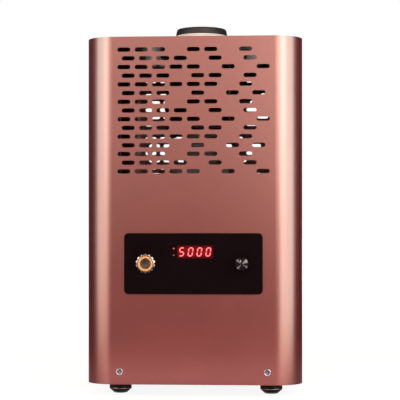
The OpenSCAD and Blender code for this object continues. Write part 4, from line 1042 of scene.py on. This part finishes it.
def tube_along(name, points, radius, sides=6, closed=False):
    """A round tube along points in millimetres, made a mesh."""
    bpy.ops.object.select_all(action="DESELECT")
    bpy.ops.curve.primitive_nurbs_path_add(radius=radius * mm)
    piece = bpy.context.active_object
    piece.name = name
    line = piece.data
    line.splines.clear()
    line.bevel_depth = radius * mm
    line.bevel_resolution = sides
    line.use_fill_caps = not closed
    spline = line.splines.new("POLY")
    spline.points.add(len(points) - 1)
    spline.use_cyclic_u = closed
    for corner, point in zip(spline.points, points):
        corner.co = (*(value * mm for value in point), 1)
    work_on(piece)
    bpy.ops.object.convert(target="MESH")
    return bpy.context.active_object


coil = tube_along("induction_coil_sleeved", [(x, y + axis_y / mm, z) for x, y, z in route], tube)
finish_node(coil, "induction_coil", "coil_sleeving", smooth=60)

# %% [markdown]
# ## Fan
# The fan's hub is turned. A blade starts as a flat grid, is set at its pitch, twisted so that its
# tip is flatter than its root, and given its thickness; then it is copied round the hub.

# %% Blade
fan_low, fan_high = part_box("fan_frame")
fan_at = ((fan_low.x + fan_high.x) / 2, fan_low.y, (fan_low.z + fan_high.z) / 2)
blades = 7
blade_length, blade_width, blade_thickness = 37 * mm, 24 * mm, 1.5 * mm
pitch, twist = math.radians(-35), math.radians(-16)
bpy.ops.object.select_all(action="DESELECT")
bpy.ops.mesh.primitive_grid_add(x_subdivisions=8, y_subdivisions=5, size=1)
blade = bpy.context.active_object
edit(blade)
bpy.ops.transform.resize(value=(blade_length, blade_width, 1))
bpy.ops.transform.rotate(value=pitch, orient_axis="X", center_override=(0, 0, 0))
leave()
apply_modifier(blade, "SIMPLE_DEFORM", deform_method="TWIST", deform_axis="X", angle=twist)
apply_modifier(blade, "SOLIDIFY", thickness=blade_thickness, offset=0)
soften(blade, 0.35, 50)
place(blade, (36.5 * mm, 0, 12.5 * mm))
print(blade.name, len(blade.data.polygons), "faces")

# %% Rotor
rotor_parts = []
for i in range(blades):
    rotor_parts.append(place(copied(blade, "blade"), facing=(0, 0, math.tau * i / blades)))
bpy.data.objects.remove(blade)
rotor_parts.append(turned("hub", [
    (5.6, 17), (5.6, 3.6), (18.6, 3.6), (19, 4.2), (19, 20.6), (18.6, 21.4), (17.6, 21.9), (8, 22)], 72))
rotor_parts.append(turned("axle", [(1.6, 1), (1.6, 18)], 24))
rotor = joined(rotor_parts, "fan_rotor_moulded")
finish_node(place(rotor, fan_at, REAR), "fan_rotor", "black_plastic", smooth=40)

# %% [markdown]
# ## Breaker lever
# The lever turns in the breaker's nose. Its paddle has a few ridges for the thumb, which are one
# small bar, rounded and copied along the paddle.

# %% Lever
lever = clean_copy("breaker_lever")
pivot = middle(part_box("breaker_body"))
pivot_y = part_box("rear_cover")[1].y - 4.5 * mm
ridge_step, lever_slant = 2.2 * mm, math.radians(35)
ridge = box_between("ridge", (-11 * mm, 9.4 * mm, -3.1 * mm), (11 * mm, 10.4 * mm, 3.1 * mm))
ridges = [place(copied(ridge, "ridge"), (0, i * ridge_step, 0)) for i in range(3)]
bpy.data.objects.remove(ridge)
grip = joined(ridges, "grip")
place(grip, (pivot.x, pivot_y, pivot.z), (lever_slant, 0, 0))
lever = joined([lever, grip], "breaker_lever_ridged")
soften(lever, 0.45)
finish_node(lever, "breaker_lever", "lever_blue")

# %% [markdown]
# ## Cable gland and earth stud
# A hexagon with chamfered corners is a six-sided bar crossed with a cone, as it is in the workshop,
# where the corners are turned off. The earth stud is turned, with its thread as close rings.

# %% A chamfered hexagon


def hexagon(name, across, low, high, bore, chamfer=1.2):
    """A bored nut between two heights, its corners turned off at the top."""
    bar = turned(name, [(across, low), (across, high)], 6)
    drill = turned("drill", [(bore, low - 1), (bore, high + 1)], 48)
    cone = turned("cone", [(across + 0.2, low - 1), (across + 0.2, high - chamfer * 0.6),
                           (across - chamfer, high), (across - chamfer, high + 0.01)], 72)
    cut(bar, cone, "INTERSECT")
    return cut(bar, drill)


gland_at = (middle(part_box("cable_gland")).x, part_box("rear_cover")[1].y, middle(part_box("cable_gland")).z)
print("gland in mm:", [round(value / mm, 1) for value in gland_at])

# %% Gland and its cap
barrel = turned("barrel", [
    (6, -12), (6.4, -12), (9.5, -12), (9.8, -11.6), (9.8, 0.5), (6, 0.5)], 64, ring=True)
gland = joined([hexagon("flange", 13.4, 0, 6, 6), barrel], "cable_gland_moulded")
soften(gland, 0.25, 40)
finish_node(place(gland, gland_at, REAR), "cable_gland", "black_plastic")

dome = turned("dome", [
    (5, 12.4), (10.3, 12.4), (10.2, 13.4), (9.8, 15), (9.0, 16.4), (8.0, 17.2), (7.0, 17.5),
    (5.6, 17.5), (5, 16.9)], 64, ring=True)
gland_cap = joined([hexagon("cap", 12.8, 6, 12.9, 5), dome], "gland_cap_moulded")
soften(gland_cap, 0.25, 40)
finish_node(place(gland_cap, gland_at, REAR), "gland_cap", "black_plastic")

# %% Earth stud
stud_at = (middle(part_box("earth_stud")).x, gland_at[1], gland_at[2])
thread = [(2.5 if i % 2 else 2.12, 2.6 + 0.4 * i) for i in range(29)]
stud = turned("earth_stud_turned", [
    (2.1, -10), (2.5, -9.6), (2.5, -0.02), (5.7, -0.02), (6, 0.2), (6, 1.8), (5.7, 2), (2.4, 2)] + thread
    + [(2.0, 14.4)], 40)
inner_nut = place(hexagon("nut", 4.7, -6, -2, 2.4, 0.5))
stud = joined([stud, inner_nut], "earth_stud_turned")
finish_node(place(stud, stud_at, REAR), "earth_stud", "brass", smooth=30)

# %% [markdown]
# ## Filter capacitors and choke
# The cans are turned, with the crimp under their lid. The choke's ring is wound: one turn of wire
# is a rounded rectangle round the ring, copied about its axis.

# %% Cans
can_profile = [(20.8, 16), (22, 17.2), (22, 86), (21.9, 86.6), (21.1, 87.4), (21.1, 88.2), (21.9, 89),
               (22, 89.6), (22, 92.6), (21.6, 93.5), (20.8, 94), (20.2, 93.8), (19.8, 93.2)]
terminal_profile = [(3, 93), (3, 99.4), (2.6, 100), (1.4, 100)]
cans = []
for low, high in solids_of("filter_capacitors"):
    at = ((low.x + high.x) / 2, (low.y + high.y) / 2, 0)
    cans.append(place(turned("can", can_profile, 64), at))
    for aside in (-6 * mm, 6 * mm):
        cans.append(place(turned("terminal", terminal_profile, 32), (at[0] + aside, at[1], 0)))
finish_node(joined(cans, "filter_capacitors_turned"), "filter_capacitors", "can_blue")

# %% Choke core
choke_at = middle(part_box("filter_choke"))
core_half, wire = 9.6, 1.1
core = turned("choke_core", [
    (16.4, -core_half + 1), (17.4, -core_half), (24.6, -core_half), (25.6, -core_half + 1),
    (25.6, core_half - 1), (24.6, core_half), (17.4, core_half), (16.4, core_half - 1)], 72, ring=True)
finish_node(place(core, choke_at), "filter_choke", "ferrite")

# %% Winding
# One turn of wire is a rounded rectangle round the core, with three points for each corner
core_mid, half_width, half_height, bend_radius = 21, 4.4, 9.5, 1.2
corner_points = []
for out, up, steps in ((1, 1, (0, 1, 2)), (-1, 1, (2, 1, 0)), (-1, -1, (0, 1, 2)), (1, -1, (2, 1, 0))):
    for step in steps:
        turn = math.radians(45 * step)
        corner_points.append((core_mid + out * (half_width + bend_radius * math.cos(turn)), 0,
                              up * (half_height + bend_radius * math.sin(turn))))
wire_turn = tube_along("wire", corner_points, wire, 2, closed=True)

# Two halves of sixteen turns each, with a gap between them for the leads, in degrees
half_winding, turn_step, gap = 16, 10.5, 12
wound = []
for i in range(2 * half_winding):
    degrees = turn_step * i + (gap if i >= half_winding else 0)
    wound.append(place(copied(wire_turn, "turn"), choke_at, (0, 0, math.radians(degrees))))
bpy.data.objects.remove(wire_turn)
winding = joined(wound, "choke_winding")
hand_over(winding, finishes["copper_bar"], "case", "busbar_copper", smooth=60)
